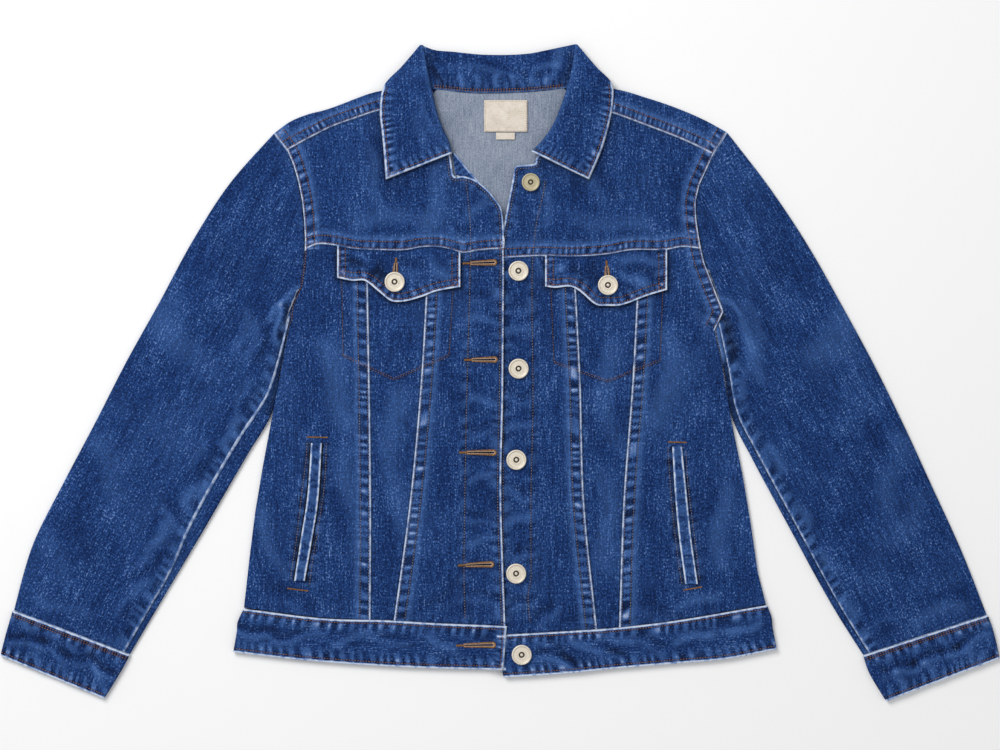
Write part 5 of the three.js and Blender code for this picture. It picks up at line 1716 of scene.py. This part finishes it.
@dataclass
class Waistband:
    """Band from the right front end, round the back, to the left front end."""

    pitch: float = 1.35

    def _front(self, side: Side) -> Patch:
        """Patch of one front run."""
        return Patch(
            top=across(HEM_TOP[side], HEM_SIDE[side][0][0], HEM_END[side][0][0]),
            bottom=across(HEM_BOTTOM[side], HEM_SIDE[side][-1][0], HEM_END[side][-1][0]),
            left=spline(HEM_SIDE[side]),
            right=spline(HEM_END[side]),
        )

    def build(self, shop: Workshop) -> None:
        """Makes the band."""
        back = Patch(
            top=across(HEM_TOP_BACK, HEM_SIDE[Side.RIGHT][0][0], HEM_SIDE[Side.LEFT][0][0]),
            bottom=across(HEM_BOTTOM_BACK, HEM_SIDE[Side.RIGHT][-1][0], HEM_SIDE[Side.LEFT][-1][0]),
            left=spline(HEM_SIDE[Side.RIGHT]),
            right=spline(HEM_SIDE[Side.LEFT]),
        )
        areas = [self._front(Side.RIGHT), back, self._front(Side.LEFT)]
        low, high = BAND / 2, BAND * 1.5 + GAP
        quarter = math.radians(80)
        front_count = round(225 / self.pitch)
        course = Course.of(
            (Run.OVER, 0.999, 0, front_count, 0), (Run.FOLD, quarter, -quarter, 8, 0), (Run.UNDER, 0, 1, 100, 1),
            (Run.FOLD, -quarter, quarter, 8, 2), (Run.OVER, 0, 0.999, front_count, 2),
        )
        rows = Spread(8, NEAR, NEAR)
        columns = len(course.run)
        mesh = grid_mesh("waistband", columns, rows.count)
        column, row = grid_places(mesh, columns, rows.count)
        run, value, part = course.run[column], course.value[column], course.part[column]
        x = np.zeros(len(run))
        y = np.zeros(len(run))
        z = np.zeros(len(run))
        for number, area in enumerate(areas):
            chosen = part == number
            v = rows.at(row[chosen], area.height(0.5))
            width = area.width(v)
            start = (high - low) / 2 + BAND / 2
            here, amount = run[chosen], value[chosen]
            angle = np.where(here == 1, amount, 0)
            distance, z_fold = fold_point(np.full_like(v, low), np.full_like(v, high), BAND, angle)
            end = 1 - start / width if number == 1 else np.ones_like(width)
            u = np.where(here == 1, distance / width, mix(start / width, end, amount))
            point = area.at(u, v)
            lap = (BAND + GAP) * ease(point.real, -14, -4) * (number == 0)
            x[chosen], y[chosen] = point.real, point.imag
            rim = rounding(np.minimum(v, 1 - v) * area.height(0.5), 1.1)
            z[chosen] = np.where(here == 0, high + BAND / 2 + lap - rim, np.where(here == 1, z_fold, rim))
        relief = Cloth("waistband", areas[0], Spread(2), Spread(2), front_rest, seams=self.seams(), seed=181,
                       creases=WAIST_CREASES)
        rise, worn, deep = relief.relief(x, y)
        set_points(mesh, x, y, z + np.where(run == 0, rise, 0))
        set_wear(mesh, worn, deep)
        set_grain(mesh, y, x)
        face_up(mesh)
        shop.sheet(mesh, "waistband", BAND)

    def seams(self) -> list[Seam]:
        """Edges of the band."""
        lines = [hem_seam(Side.RIGHT), hem_seam(Side.LEFT)]
        for side in Side:
            bottom = HEM_BOTTOM[side]
            line = traced(across(bottom, bottom[0][0], bottom[-1][0]))
            lines.append(Seam(line, 191 + side.out, Edge.HEMMED, pitch=9, rows=(3.4,), on="waistband"))
        lines.append(Seam(traced(spline(HEM_END[Side.RIGHT])), 195, Edge.HEMMED, flip=True, rows=(2.8,),
                          on="waistband"))
        return lines


WAIST_CREASES = [
    (-223, -213, -191, -221, 3.4, -0.85), (-191, -222, -152, -217, 3.4, -0.7), (-140, -230, -112, -222, 4, 0.45),
    (-104, -220, -78, -226, 3.6, -0.5), (-60, -226, -40, -236, 4, 0.45), (-30, -220, -8, -226, 3, -0.5),
    (32, -238, 76, -246, 3.2, -0.85), (38, -226, 62, -242, 3.4, -0.7), (60, -226, 84, -240, 4, 0.5),
    (94, -236, 106, -239, 2.6, -0.8), (84, -222, 110, -230, 4, 0.45), (120, -222, 140, -232, 3.6, -0.5),
    (150, -228, 178, -222, 4, 0.45), (176, -216, 200, -210, 3.6, -0.5), (196, -222, 220, -214, 4, 0.4),
]


@dataclass
class Collar:
    """Collar: two falls with their stands, and the band behind the neck with its hidden fall."""

    fall_columns: int = 44
    fall_rows: int = 96

    def build(self, shop: Workshop) -> None:
        """Makes the collar as one piece."""
        hidden = Cloth("hidden", quad(COLLAR_TOP, UNDER_FALL, COLLAR_SLOPE[Side.RIGHT], COLLAR_SLOPE[Side.LEFT]),
                       Spread(40, inset=0.4), Spread(12, inset=0.4), lambda x, y: 0 * x, COLLAR, seed=201)
        back_area = quad(COLLAR_TOP, NECK_WIDE, STAND_SIDE[Side.RIGHT], STAND_SIDE[Side.LEFT])
        back = Cloth("back", back_area, Spread(88), Spread(26), lambda x, y: 0 * x + COLLAR + GAP, COLLAR, seed=203,
                     seams=self.back_seams(), creases=STAND_CREASES,
                     rise=lambda x, y: -rounding(over(COLLAR_TOP)(x) - y, 2.0))
        parts = [hidden.mesh(), back.mesh()]
        for side in Side:
            parts.append(self._fall(side))
            parts.append(self._stand(side))
        for part in parts:
            face_up(part)
        shop.sheet(joined("collar", parts), "collar", COLLAR - 0.6)

    def back_seams(self) -> list[Seam]:
        """Neck seam of the band."""
        line = traced(across(NECK_WIDE, -56, 56))
        return [Seam(line, 205, Edge.HEMMED, pitch=6.4, worn=0.5, rows=(1.4, 3.0), on="collar")]

    def fall_area(self, side: Side) -> Patch:
        """Patch of one fall."""
        return ruled(FALL[side])

    def _stand(self, side: Side) -> bpy.types.Mesh:
        """Makes the stand under one fall."""
        rows = [(x + side.out * STAND_WIDTH, y, x + side.out * 0.4, y) for _, _, x, y in FALL[side][1:]]
        cloth = Cloth("stand", ruled(rows), Spread(8), Spread(40), collar_rest, STAND, seed=207)
        return cloth.mesh()

    def _fall(self, side: Side) -> bpy.types.Mesh:
        """Makes one fall."""
        area = self.fall_area(side)
        mesh = grid_mesh("fall", self.fall_columns, self.fall_rows)
        column, row = grid_places(mesh, self.fall_columns, self.fall_rows)
        u = column / (self.fall_columns - 1)
        v = row / (self.fall_rows - 1)
        point = area.at(u, v)
        x, y = point.real, point.imag
        width = area.width(v)
        lifted = (STAND + GAP) * (1 - ease((1 - u) * width, STAND_WIDTH, STAND_WIDTH + 14))
        z = collar_rest(x, y) + lifted + COLLAR
        z = z - rounding((1 - u) * width, 2.0) - rounding(u * width, 1.2)
        z = z - rounding((1 - v) * area.height(0.5), 1.0)
        relief = Cloth("fall", area, Spread(2), Spread(2), front_rest, seams=self.fall_seams(side),
                       creases=FALL_CREASES, seed=211 + side.out)
        rise, worn, deep = relief.relief(x, y)
        inner = np.exp(-(((1 - u) * width) ** 2) / 14)
        set_points(mesh, x, y, z + rise * (1 - inner))
        set_wear(mesh, np.maximum(worn, 0.18 * inner), deep)
        set_grain(mesh, x, y)
        return mesh

    def fall_seams(self, side: Side) -> list[Seam]:
        """Free edges of one fall."""
        area = self.fall_area(side)
        fold = FOLD_ROW / (len(FALL[side]) - 1)
        side_line = area.left(np.linspace(fold, 1, 40))
        bottom_line = area.bottom(np.linspace(0, 1, 30))
        is_right = side is Side.RIGHT
        return [
            Seam(side_line, 221 + side.out, Edge.HEMMED, flip=not is_right, pitch=6.2, rows=(3.3,),
                 on="collar"),
            Seam(bottom_line, 225 + side.out, Edge.HEMMED, flip=not is_right, pitch=6.2, rows=(3.3,),
                 on="collar"),
        ]


STAND_CREASES = [
    (-60, 268, -48, 244, 6, -0.9), (-50, 262, 40, 259, 3, -0.3), (-56, 262, -44, 248, 2.6, 0.55),
    (62, 268, 52, 244, 6, -0.9), (30, 258, 48, 262, 3, 0.4), (-34, 252, -32, 244, 2.4, 0.6),
    (-20, 252, -19, 244, 2.2, 0.5), (-4, 252, -4, 244, 2.6, 0.6), (10, 253, 11, 245, 2.2, 0.5),
    (26, 254, 27, 245, 2.6, 0.6), (38, 254, 39, 246, 2.2, 0.5),
]
FALL_CREASES = [(-59, 232, -45, 190, 3.2, -0.35), (-72, 215, -66, 196, 5, 0.15), (66, 240, 58, 200, 5, -0.2)]


@dataclass
class Facing:
    """Inside facing of the right front, which shows at the neckline."""

    def build(self, shop: Workshop) -> None:
        """Makes the facing."""
        outer, inner = FACING_OUTER, FACING_INNER
        area = Patch(
            top=polyline([outer[0], inner[0]]),
            bottom=polyline([outer[-1], inner[-1]]),
            left=spline(outer),
            right=spline(inner),
        )
        edge = Seam(traced(spline(inner)), 231, Edge.HEMMED, flip=True, worn=0.6, rows=())
        cloth = Cloth("facing_r", area, Spread(16), Spread(50), lambda x, y: BACK_TOP + GAP + neck_lift(x, y),
                      seams=[edge], seed=233)
        mesh = cloth.mesh()
        face_up(mesh)
        shop.sheet(mesh, "facing_r", CLOTH)


# Creases of the flaps: the two ends, half width and height, below 0 for a trough
FLAP_CREASES = {
    Side.RIGHT: [
        (-132, 96, -100, 80, 7, -0.9), (-104, 92, -92, 70, 6, -0.8), (-126, 100, -112, 96, 2.6, 0.6),
        (-84, 96, -62, 90, 5, -0.45), (-60, 92, -46, 80, 5, 0.45), (-118, 88, -106, 92, 2.4, 0.5),
    ],
    Side.LEFT: [
        (62, 92, 74, 72, 5, -0.8), (78, 92, 90, 66, 6, -0.7), (48, 88, 60, 92, 3, 0.55),
        (104, 84, 122, 74, 4, 0.6), (106, 96, 132, 94, 5, 0.45), (118, 90, 130, 84, 4, -0.45),
    ],
}


@dataclass
class Pocket:
    """Flap with its button hole, and the welt of the hand pocket."""

    side: Side

    def flap_seam(self) -> Seam:
        """Sewn edge of the flap."""
        return Seam(self.flap_outline(), 241 + self.side.out, Edge.HEMMED, pitch=6.5, rows=(2.5, 7.0),
                    on="flap")

    def flap_outline(self) -> Array:
        """Free edge of the flap, from its left top corner to its right one."""
        rows = FLAPS[self.side]
        height = over(YOKE[self.side])
        bottom = traced(across(rows, rows[0][0], rows[-1][0]), 60)
        left, right = rows[0][0], rows[-1][0]
        return np.concatenate([[complex(left, float(height(left)))], bottom, [complex(right, float(height(right)))]])

    def build(self, shop: Workshop) -> None:
        """Makes the flap and the welt."""
        side = self.side
        rows = FLAPS[side]
        left, right = rows[0][0], rows[-1][0]
        top = over(YOKE[side])
        area = Patch(
            top=across(YOKE[side], left, right),
            bottom=across(rows, left, right),
            left=polyline([(left, float(top(left))), rows[0]]),
            right=polyline([(right, float(top(right))), rows[-1]]),
        )
        edge = self.flap_seam()
        cloth = Cloth(f"flap_{side.value}", area, spread(104, 1.5), spread(32, 1.2),
                      lambda x, y: front_rest(x, y) + LAP_RISE, FLAP, seams=[edge, yoke_shadow(side)], seed=243,
                      creases=FLAP_CREASES[side])
        mesh = cloth.mesh()
        face_up(mesh)
        shop.sheet(mesh, f"flap_{side.value}", FLAP)
        self._welt(shop)

    def _welt(self, shop: Workshop) -> None:
        """Makes the welt of the hand pocket."""
        side = self.side
        area = ruled(WELTS[side])
        out_edge = area.left(np.linspace(0, 1, 40))
        in_edge = area.right(np.linspace(0, 1, 40))
        is_right = side is Side.RIGHT
        seams = [
            Seam(out_edge, 251 + side.out, Edge.HEMMED, flip=not is_right, pitch=12, worn=0.9, rows=(),
                 strength=0.6),
            Seam(in_edge, 255 + side.out, Edge.HEMMED, flip=is_right, pitch=12, worn=0.9, rows=(),
                 strength=0.6),
        ]
        cloth = Cloth(f"welt_{side.value}", area, Spread(12), Spread(90),
                      lambda x, y: front_rest(x, y) + CLOTH + GAP, WELT, seams=seams, seed=257)
        mesh = cloth.mesh()
        face_up(mesh)
        shop.sheet(mesh, f"welt_{side.value}", WELT)


def yoke_shadow(side: Side) -> Seam:
    """Seam marks at the root of a flap, under the yoke seam: a raised fold, puckers, a little wear and painted shade.
    """
    first, last = YOKE[side][0][0], YOKE[side][-1][0]
    return Seam(traced(across(YOKE[side], first, last)), 261 + side.out, strength=0.4, worn=0.3)


@dataclass
class Button:
    """Shank button: a dished disc with a rim, a ring and a dot."""

    name: str
    place: tuple[float, float]
    seat: float
    size: float = 1.0
    tarnish: float = 0.0
    steps: int = 40

    # Radius and height of the profile, in millimetres, and how dark it is there
    profile: Rows = (
        (0.0, 0.0, 0), (7.6, 0.0, 0), (8.25, 0.25, 0), (8.5, 0.8, 0), (8.5, 2.3, 0), (8.3, 2.75, 0), (7.8, 2.98, 0),
        (7.3, 2.9, 0.05), (7.05, 2.6, 0.3), (6.8, 2.42, 0.1), (5.9, 2.36, 0), (4.4, 2.36, 0), (4.1, 2.36, 0.2),
        (3.8, 2.4, 0.1), (3.4, 2.52, 0), (2.75, 2.5, 0.1), (2.45, 2.2, 0.95), (2.1, 1.9, 1), (1.5, 1.9, 1),
        (1.25, 2.2, 0.6), (0.95, 2.42, 0), (0.5, 2.48, 0), (0.0, 2.48, 0.3),
    )

    def build(self, shop: Workshop) -> None:
        """Spins the profile."""
        shell = bmesh.new()
        x, y = self.place
        base = self.seat + GAP
        corners = [((x + r * self.size) * MM, y * MM, (base + h) * MM) for r, h, _ in self.profile]
        spots = [shell.verts.new(corner) for corner in corners]
        rims = [shell.edges.new(pair) for pair in zip(spots[:-1], spots[1:])]
        bmesh.ops.spin(shell, geom=[*spots, *rims], cent=(x * MM, y * MM, 0), axis=(0, 0, 1), dvec=(0, 0, 0),
                       angle=2 * math.pi, steps=self.steps, use_merge=True)
        bmesh.ops.remove_doubles(shell, verts=shell.verts, dist=0.00001)
        bmesh.ops.recalc_face_normals(shell, faces=shell.faces)
        mesh = bpy.data.meshes.new(self.name)
        shell.to_mesh(mesh)
        shell.free()
        place = np.array([vert.co for vert in mesh.vertices]) / MM
        radius = np.hypot(place[:, 0] - x, place[:, 1] - y) / self.size
        face = [(r, dark) for r, _, dark in self.profile[:3:-1]]
        dark = np.interp(radius, [r for r, _ in face], [dark for _, dark in face])
        set_wear(mesh, np.full(len(radius), self.tarnish), dark)
        shop.piece(mesh, [shop.metal], [self.name], "button_metal")


@dataclass
class Label:
    """Bare label on the back yoke."""

    name: str
    bounds: tuple[float, float, float, float]
    cut: tuple[float, float, float]

    def build(self, shop: Workshop) -> None:
        """Makes the label."""
        left, right, top, bottom = self.bounds
        area = Patch(
            top=polyline([(left, top), (right, top)]),
            bottom=polyline([(left, bottom), (right, bottom)]),
            left=polyline([(left, top), (left, bottom)]),
            right=polyline([(right, top), (right, bottom)]),
        )
        cloth = Cloth(self.name, area, Spread(30), Spread(24),
                      lambda x, y: neck_lift(x, y) + CLOTH + GAP, LABEL - 0.2, seed=271)
        mesh = cloth.mesh()
        face_up(mesh)
        piece = shop.piece(mesh, [shop.label], [self.name], "label_cloth")
        wall = piece.modifiers.new("thickness", "SOLIDIFY")
        wall.thickness = 0.7 * MM
        wall.offset = -1
        shop.cloth.append(piece)


def seen(rows: Rows) -> Array:
    """Line through places that are given in picture points, each 0.85 mm, from the picture's left and top."""
    middle_x, middle_y = PICTURE_MIDDLE
    return np.array([complex((x - middle_x) * POINT_SIZE, (middle_y - y) * POINT_SIZE) for x, y in rows])


def smooth_line(rows: Array, count: int = 40) -> Array:
    """Smooth line through these points."""
    return traced(spline([(p.real, p.imag) for p in rows]), count)


# Stitch lines of the plackets, chest pockets and hand pockets, in picture points
PLACKET = {
    Side.RIGHT: [(465.7, 180), (467.7, 196), (469.4, 213), (470.6, 236), (469.9, 283), (466.6, 402), (465, 489),
                 (464, 572), (465.3, 621)],
    Side.LEFT: [(545, 181), (543, 195), (539.5, 209), (535, 234), (532, 283), (533, 402), (531, 489),
                (531, 560), (531, 577), (528, 597), (530, 622)],
}
CHEST = {
    Side.RIGHT: [(341, 281), (342, 291), (343, 356), (394, 380), (449, 356), (453, 289)],
    Side.LEFT: [(550, 281), (551, 291), (554, 363), (607.5, 382), (660, 361), (663, 288)],
}
HAND_OUTER = {
    Side.RIGHT: [(307, 443), (306, 460), (302, 491), (299, 518), (295.5, 546), (290, 581)],
    Side.LEFT: [(686, 452), (688, 484), (692, 517), (696, 549), (700, 582)],
}
HAND_INNER = {
    Side.RIGHT: [(326.5, 443), (325, 477), (322.5, 500), (318, 529), (313, 558), (309, 586)],
    Side.LEFT: [(668, 447), (670, 479), (672, 506), (675.5, 538), (679, 565.5), (682.5, 587)],
}
BARS = [
    ((307, 437), (328, 437.5)), ((287.5, 588.5), (308, 591)), ((668, 442), (687, 442.5)),
    ((683.5, 590), (702, 587)),
]
HOLES = [
    ((463, 263.5), (497, 262.5)), ((464.5, 360), (497.5, 359.5)), ((459.5, 452.5), (496.5, 452.5)),
    ((458.5, 565.5), (494, 564)), ((456.5, 645.5), (495.8, 644.5)), ((396.3, 258), (395, 278)),
    ((606.3, 261), (607.4, 281)),
]


def placket_seam(side: Side) -> Seam:
    """Inner stitch line of a placket."""
    return Seam(smooth_line(seen(PLACKET[side])), 281 + side.out, Edge.PLAIN, pitch=14, rows=(0.0,), thread="dull",
                worn=0.7, strength=0.8)


def chest_seam(side: Side) -> Seam:
    """Stitch line that holds the chest pocket's bag."""
    return Seam(seen(CHEST[side]), 285 + side.out, Edge.PLAIN, pitch=11, rows=(0.0,), worn=0.3, strength=0.25)


def hand_seams(side: Side) -> tuple[Seam, Seam]:
    """Edges of the slit round the hand pocket's welt, each with a stitch row."""
    is_right = side is Side.RIGHT
    return (
        Seam(smooth_line(seen(HAND_OUTER[side]), 30), 291 + side.out, Edge.PLAIN, pitch=10, rows=(0.0,),
             flip=is_right, thread="dull", worn=0.9, strength=0.9),
        Seam(smooth_line(seen(HAND_INNER[side]), 30), 295 + side.out, Edge.PLAIN, pitch=10, rows=(0.0,),
             flip=not is_right, thread="dull", worn=0.9, strength=0.9),
    )


def densify(line: Array, pitch: float) -> Array:
    """Points along a line, one pitch apart."""
    lengths = np.concatenate([[0], np.cumsum(np.abs(np.diff(line)))])
    places = np.arange(0, lengths[-1], pitch)
    return np.interp(places, lengths, line.real) + 1j * np.interp(places, lengths, line.imag)


@dataclass
class Needlework:
    """All stitches, laid on the cloth's upper face: one joined mesh for each thread."""

    tree: BVHTree
    owners: list[str]
    pitch: float = 2.35
    length: float = 1.4
    width: float = 0.75
    stitches: dict[str, list[tuple[Array, Array, float]]] = field(default_factory=dict)

    @staticmethod
    def on(cloth: Sequence[bpy.types.Object]) -> "Needlework":
        """Needlework on these pieces of cloth."""
        shell = bmesh.new()
        owners: list[str] = []
        for piece in cloth:
            shell.from_mesh(piece.data)
            owners.extend([piece.name] * len(piece.data.polygons))
        tree = BVHTree.FromBMesh(shell)
        shell.free()
        return Needlework(tree, owners)

    def height(self, spot: complex, on: str, below: bool) -> float | None:
        """Height of a face of the cloth at this place, in millimetres.

        Args:
            spot: The place.
            on: How the name of the piece of cloth begins.
            below: Whether the face is looked for from below.

        Returns:
            The height, or None where another piece covers the place.
        """
        start, way = (-0.1, 1) if below else (0.1, -1)
        outside = Vector((spot.real * MM, spot.imag * MM, start))
        hit, _, face, _ = self.tree.ray_cast(outside, Vector((0, 0, way)))
        if hit is None or not self.owners[face].startswith(on):
            return None
        return hit.z / MM

    def add(self, thread: str, start: complex, end: complex, width: float | None = None, lift: float = 0.1,
            on: str = "", below: bool = False) -> None:
        """Adds one stitch between two points."""
        low, high = self.height(start, on, below), self.height(end, on, below)
        if low is None or high is None or abs(low - high) > 1.2:
            return
        rise = -lift if below else lift
        first = np.array([start.real, start.imag, low + rise])
        last = np.array([end.real, end.imag, high + rise])
        self.stitches.setdefault(thread, []).append((first, last, width or self.width))

    def row(self, thread: str, line: Array, pitch: float | None = None, width: float | None = None,
            share: float = 1.0, on: str = "", below: bool = False) -> None:
        """Adds a row of stitches along a line.

        Args:
            thread: Which thread.
            line: The line.
            pitch: Distance from stitch to stitch.
            width: Width of the thread.
            share: Length of each stitch over its usual length; a cord has stitches that overlap.
            on: How the name of the piece of cloth begins.
            below: Whether it is on the underside.
        """
        step = pitch or self.pitch
        spots = densify(line, step)
        for spot, after in zip(spots[:-1], spots[1:]):
            direction = (after - spot) / abs(after - spot)
            end = spot + direction * self.length * share * step / self.pitch
            self.add(thread, spot, end, width, on=on, below=below)

    def seam(self, seam: Seam) -> None:
        """Adds a seam's own rows."""
        for offset in seam.rows:
            self.row(seam.thread, seam.row_line(offset), on=seam.on, below=seam.below)

    def cord(self, thread: str, line: Array, width: float, on: str = "") -> None:
        """Adds a line without gaps."""
        self.row(thread, line, 2.0, width, 2.2, on)

    def bar(self, thread: str, start: complex, end: complex, width: float) -> None:
        """Adds a bar of short stitches, close together, across a line."""
        aside = 1j * (end - start) / abs(end - start) * width / 2
        for number, spot in enumerate(densify(np.array([start, end]), 0.45)):
            wobble = 0.12 * math.sin(number * 2.1)
            self.add(thread, spot - aside * (1 + wobble), spot + aside * (1 - wobble), 0.5, 0.25)

    def hole(self, thread: str, start: complex, end: complex) -> None:
        """Adds a keyhole buttonhole, with its bar at the start and its eye at the end."""
        along = (end - start) / abs(end - start)
        length = abs(end - start)
        eye = end - along * 2.6
        self.bar(thread, start, start + along * min(7.5, 0.3 * length), 2.2)
        begin = start + along * min(6.5, 0.27 * length)
        spots = densify(np.array([begin, eye]), 0.5)
        for number, spot in enumerate(spots):
            share = number / len(spots)
            inner = 0.3 + 0.3 * share
            outer = 1.5 + 1.1 * share
            for hand in (1j, -1j):
                self.add(thread, spot + along * hand * (inner + 0.7), spot + along * hand * (outer + 0.3), 0.6, 0.3)
                self.add("tan", spot + along * hand * inner, spot + along * hand * (inner + 1.0), 0.55, 0.42)
        for angle in np.linspace(-105, 105, 19):
            spoke = along * complex(math.cos(math.radians(angle)), math.sin(math.radians(angle)))
            self.add(thread, eye + spoke * 1.5, eye + spoke * 2.9, 0.7, 0.3)
            self.add("tan", eye + spoke * 0.7, eye + spoke * 1.7, 0.6, 0.42)
        # Near-black stitches down the slit stand for painted shadow in the opening.
        for number in range(14):
            spot = mix(begin, eye, number / 13)
            self.add("black", spot, spot + along * 1.9, 0.8, 0.3)

    def sew(self, shop: Workshop) -> None:
        """Makes one joined mesh for each thread."""
        shell = bmesh.new()
        bmesh.ops.create_uvsphere(shell, u_segments=5, v_segments=3, radius=0.5)
        bmesh.ops.rotate(shell, verts=shell.verts, matrix=Matrix.Rotation(math.pi / 2, 3, "Y"))
        spots = np.array([vert.co for vert in shell.verts])
        shell.verts.index_update()
        faces = [[vert.index for vert in face.verts] for face in shell.faces]
        shell.free()
        for thread, stitches in self.stitches.items():
            vertices: list[Array] = []
            polygons: list[list[int]] = []
            for first, last, width in stitches:
                base = len(vertices) * len(spots)
                along = last - first
                reach = np.linalg.norm(along)
                along = along / reach
                aside = np.cross([0, 0, 1], along)
                aside = aside / np.linalg.norm(aside)
                up = np.cross(along, aside)
                local = spots * np.array([reach, width, width * 0.8])
                vertices.append((first + last) / 2 + local @ np.array([along, aside, up]))
                polygons.extend([[base + i for i in face] for face in faces])
            mesh = bpy.data.meshes.new(f"stitches_{thread}")
            mesh.from_pydata((np.concatenate(vertices) * MM).tolist(), [], polygons)
            shop.piece(mesh, [shop.threads[thread]], [], "denim")


def sew_all(shop: Workshop) -> None:
    """Lays every row of stitches, bar and buttonhole on the cloth."""
    work = Needlework.on(shop.cloth)
    for side in Side:
        band = CuffBand(side)
        rows = [*armhole_seams(side), forward_seam(side), yoke_seam(side), *wedge_seams(side), front_edge(side),
                neckline(side), hem_seam(side), placket_seam(side), *hand_seams(side), *band.seams(),
                *Collar().fall_seams(side), Pocket(side).flap_seam()]
        for seam in rows:
            work.seam(seam)
        chest = seen(CHEST[side])
        work.row("gold", chest, width=0.5, on="front")
        work.row("gold", chest[2:5] + 1.6j, width=0.5, on="front")
        welt = ruled(WELTS[side])
        along = np.linspace(0, 1, 30)
        # Near-black cords beside the welt's edges stand for painted shadow in the slits.
        work.cord("black", welt.left(along) - 0.75, 1.25, "front")
        work.cord("black", welt.right(along) + 0.75, 1.25, "front")
        for seam in band.seams():
            work.seam(replace(seam, below=True))
    for seam in [*Waistband().seams()[2:], *Collar().back_seams(), *back_seams()]:
        work.seam(seam)
    for line, offset in ((HEM_TOP_BACK, -2.9), (HEM_BOTTOM_BACK, 3.4)):
        edge = traced(across(line, line[0][0] + 3, line[-1][0] - 3), 120)
        work.row("brown", edge + 1j * offset, on="waistband", below=True)
    work.cord("cream", seen([(464, 97.2), (497, 97.4), (530, 95.8), (562, 92.6)]), 1.3, "back_yoke")
    # Short near-black cord across the cream edge at the middle of the neck, as painted shadow.
    work.cord("black", seen([(496, 99), (498, 95)]), 1.0)
    left, right, top, bottom = NECK_LABEL
    corners = [(left + 1, top - 1), (right - 1, top - 1), (right - 1, bottom + 1), (left + 1, bottom + 1)]
    frame_line = [*corners, corners[0]]
    work.row("tan", points(frame_line), 1.9, 0.5)
    for start, end in BARS:
        work.bar("gold", *seen([start, end]), 1.5)
    for start, end in HOLES:
        work.hole("gold", *seen([start, end]))
    work.sew(shop)


@dataclass
class Studio:
    """Floor, soft light and a camera that looks straight down."""

    lens: float = 100.0
    view_width: float = 0.85
    centre_y: float = -0.0017

    def build(self) -> None:
        """Makes the floor, the lights and the camera."""
        bpy.context.scene.view_settings.view_transform = "Standard"
        floor = self._floor()
        self._light("key", (-1.2, 1.3, 1.9), 1.3, 46)
        self._light("fill", (1.1, -0.6, 2.4), 2.6, 10)
        world = bpy.data.worlds.new("world")
        bpy.context.scene.world = world
        world.use_nodes = True
        world.node_tree.nodes["Background"].inputs[0].default_value = (1.0, 1.0, 1.0, 1.0)
        world.node_tree.nodes["Background"].inputs[1].default_value = 0.45
        data = bpy.data.cameras.new("camera")
        data.lens = self.lens
        camera = bpy.data.objects.new("camera", data)
        camera.location = (0, self.centre_y, self.view_width * self.lens / data.sensor_width + 0.004)
        bpy.context.collection.objects.link(camera)
        bpy.context.scene.camera = camera

    def _floor(self) -> bpy.types.Object:
        """Makes a plain pale floor just under the cloth."""
        shell = bmesh.new()
        bmesh.ops.create_grid(shell, x_segments=1, y_segments=1, size=6)
        bmesh.ops.translate(shell, verts=shell.verts, vec=(0, 0, -0.0003))
        mesh = bpy.data.meshes.new("floor")
        shell.to_mesh(mesh)
        shell.free()
        floor = bpy.data.objects.new("floor", mesh)
        bpy.context.collection.objects.link(floor)
        recipe = Recipe("floor")
        mesh.materials.append(recipe.surface((0.95, 0.95, 0.95, 1.0), 0.9))
        return floor

    def _light(self, name: str, place: tuple[float, float, float], size: float, power: float) -> None:
        """Makes one soft light that looks at the middle."""
        data = bpy.data.lights.new(name, "AREA")
        data.size = size
        data.energy = power
        light = bpy.data.objects.new(name, data)
        light.location = place
        light.rotation_euler = (-Vector(place)).to_track_quat("-Z", "Y").to_euler()
        bpy.context.collection.objects.link(light)


def main() -> None:
    """Builds the jacket, piece by piece."""
    logging.basicConfig(level=logging.INFO, format="%(relativeCreated)d %(message)s")
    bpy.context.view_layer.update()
    shop = Workshop()
    Studio().build()
    back = Back()
    back.body(shop)
    back.yoke(shop)
    for side in Side:
        Front(side).build(shop)
        Sleeve(side).build(shop)
        CuffBand(side).build(shop)
        Pocket(side).build(shop)
    Facing().build(shop)
    Waistband().build(shop)
    Collar().build(shop)
    Label("neck_label", NECK_LABEL, (0.037, 0.027, 0.00099)).build(shop)
    Label("size_tab", SIZE_TAB, (0.0162, 0.01, 0.00012)).build(shop)
    for number, place in enumerate(FRONT_BUTTONS, start=1):
        x, y = np.array(place[0]), np.array(place[1])
        is_on_band = number == len(FRONT_BUTTONS)
        seat = 2 * BAND + GAP if is_on_band else float(front_rest(x, y)) + CLOTH + FELL_RISE
        is_top = number == 1
        Button(f"button_{number}", place, seat, 0.9 if is_top else 1.0, 0.75 if is_top else 0.0).build(shop)
    for side in Side:
        x, y = (np.array(c) for c in FLAP_BUTTONS[side])
        Button(f"flap_button_{side.value}", FLAP_BUTTONS[side], float(front_rest(x, y)) + LAP_RISE + FLAP).build(shop)
    sew_all(shop)


if __name__ == "__main__":
    main()
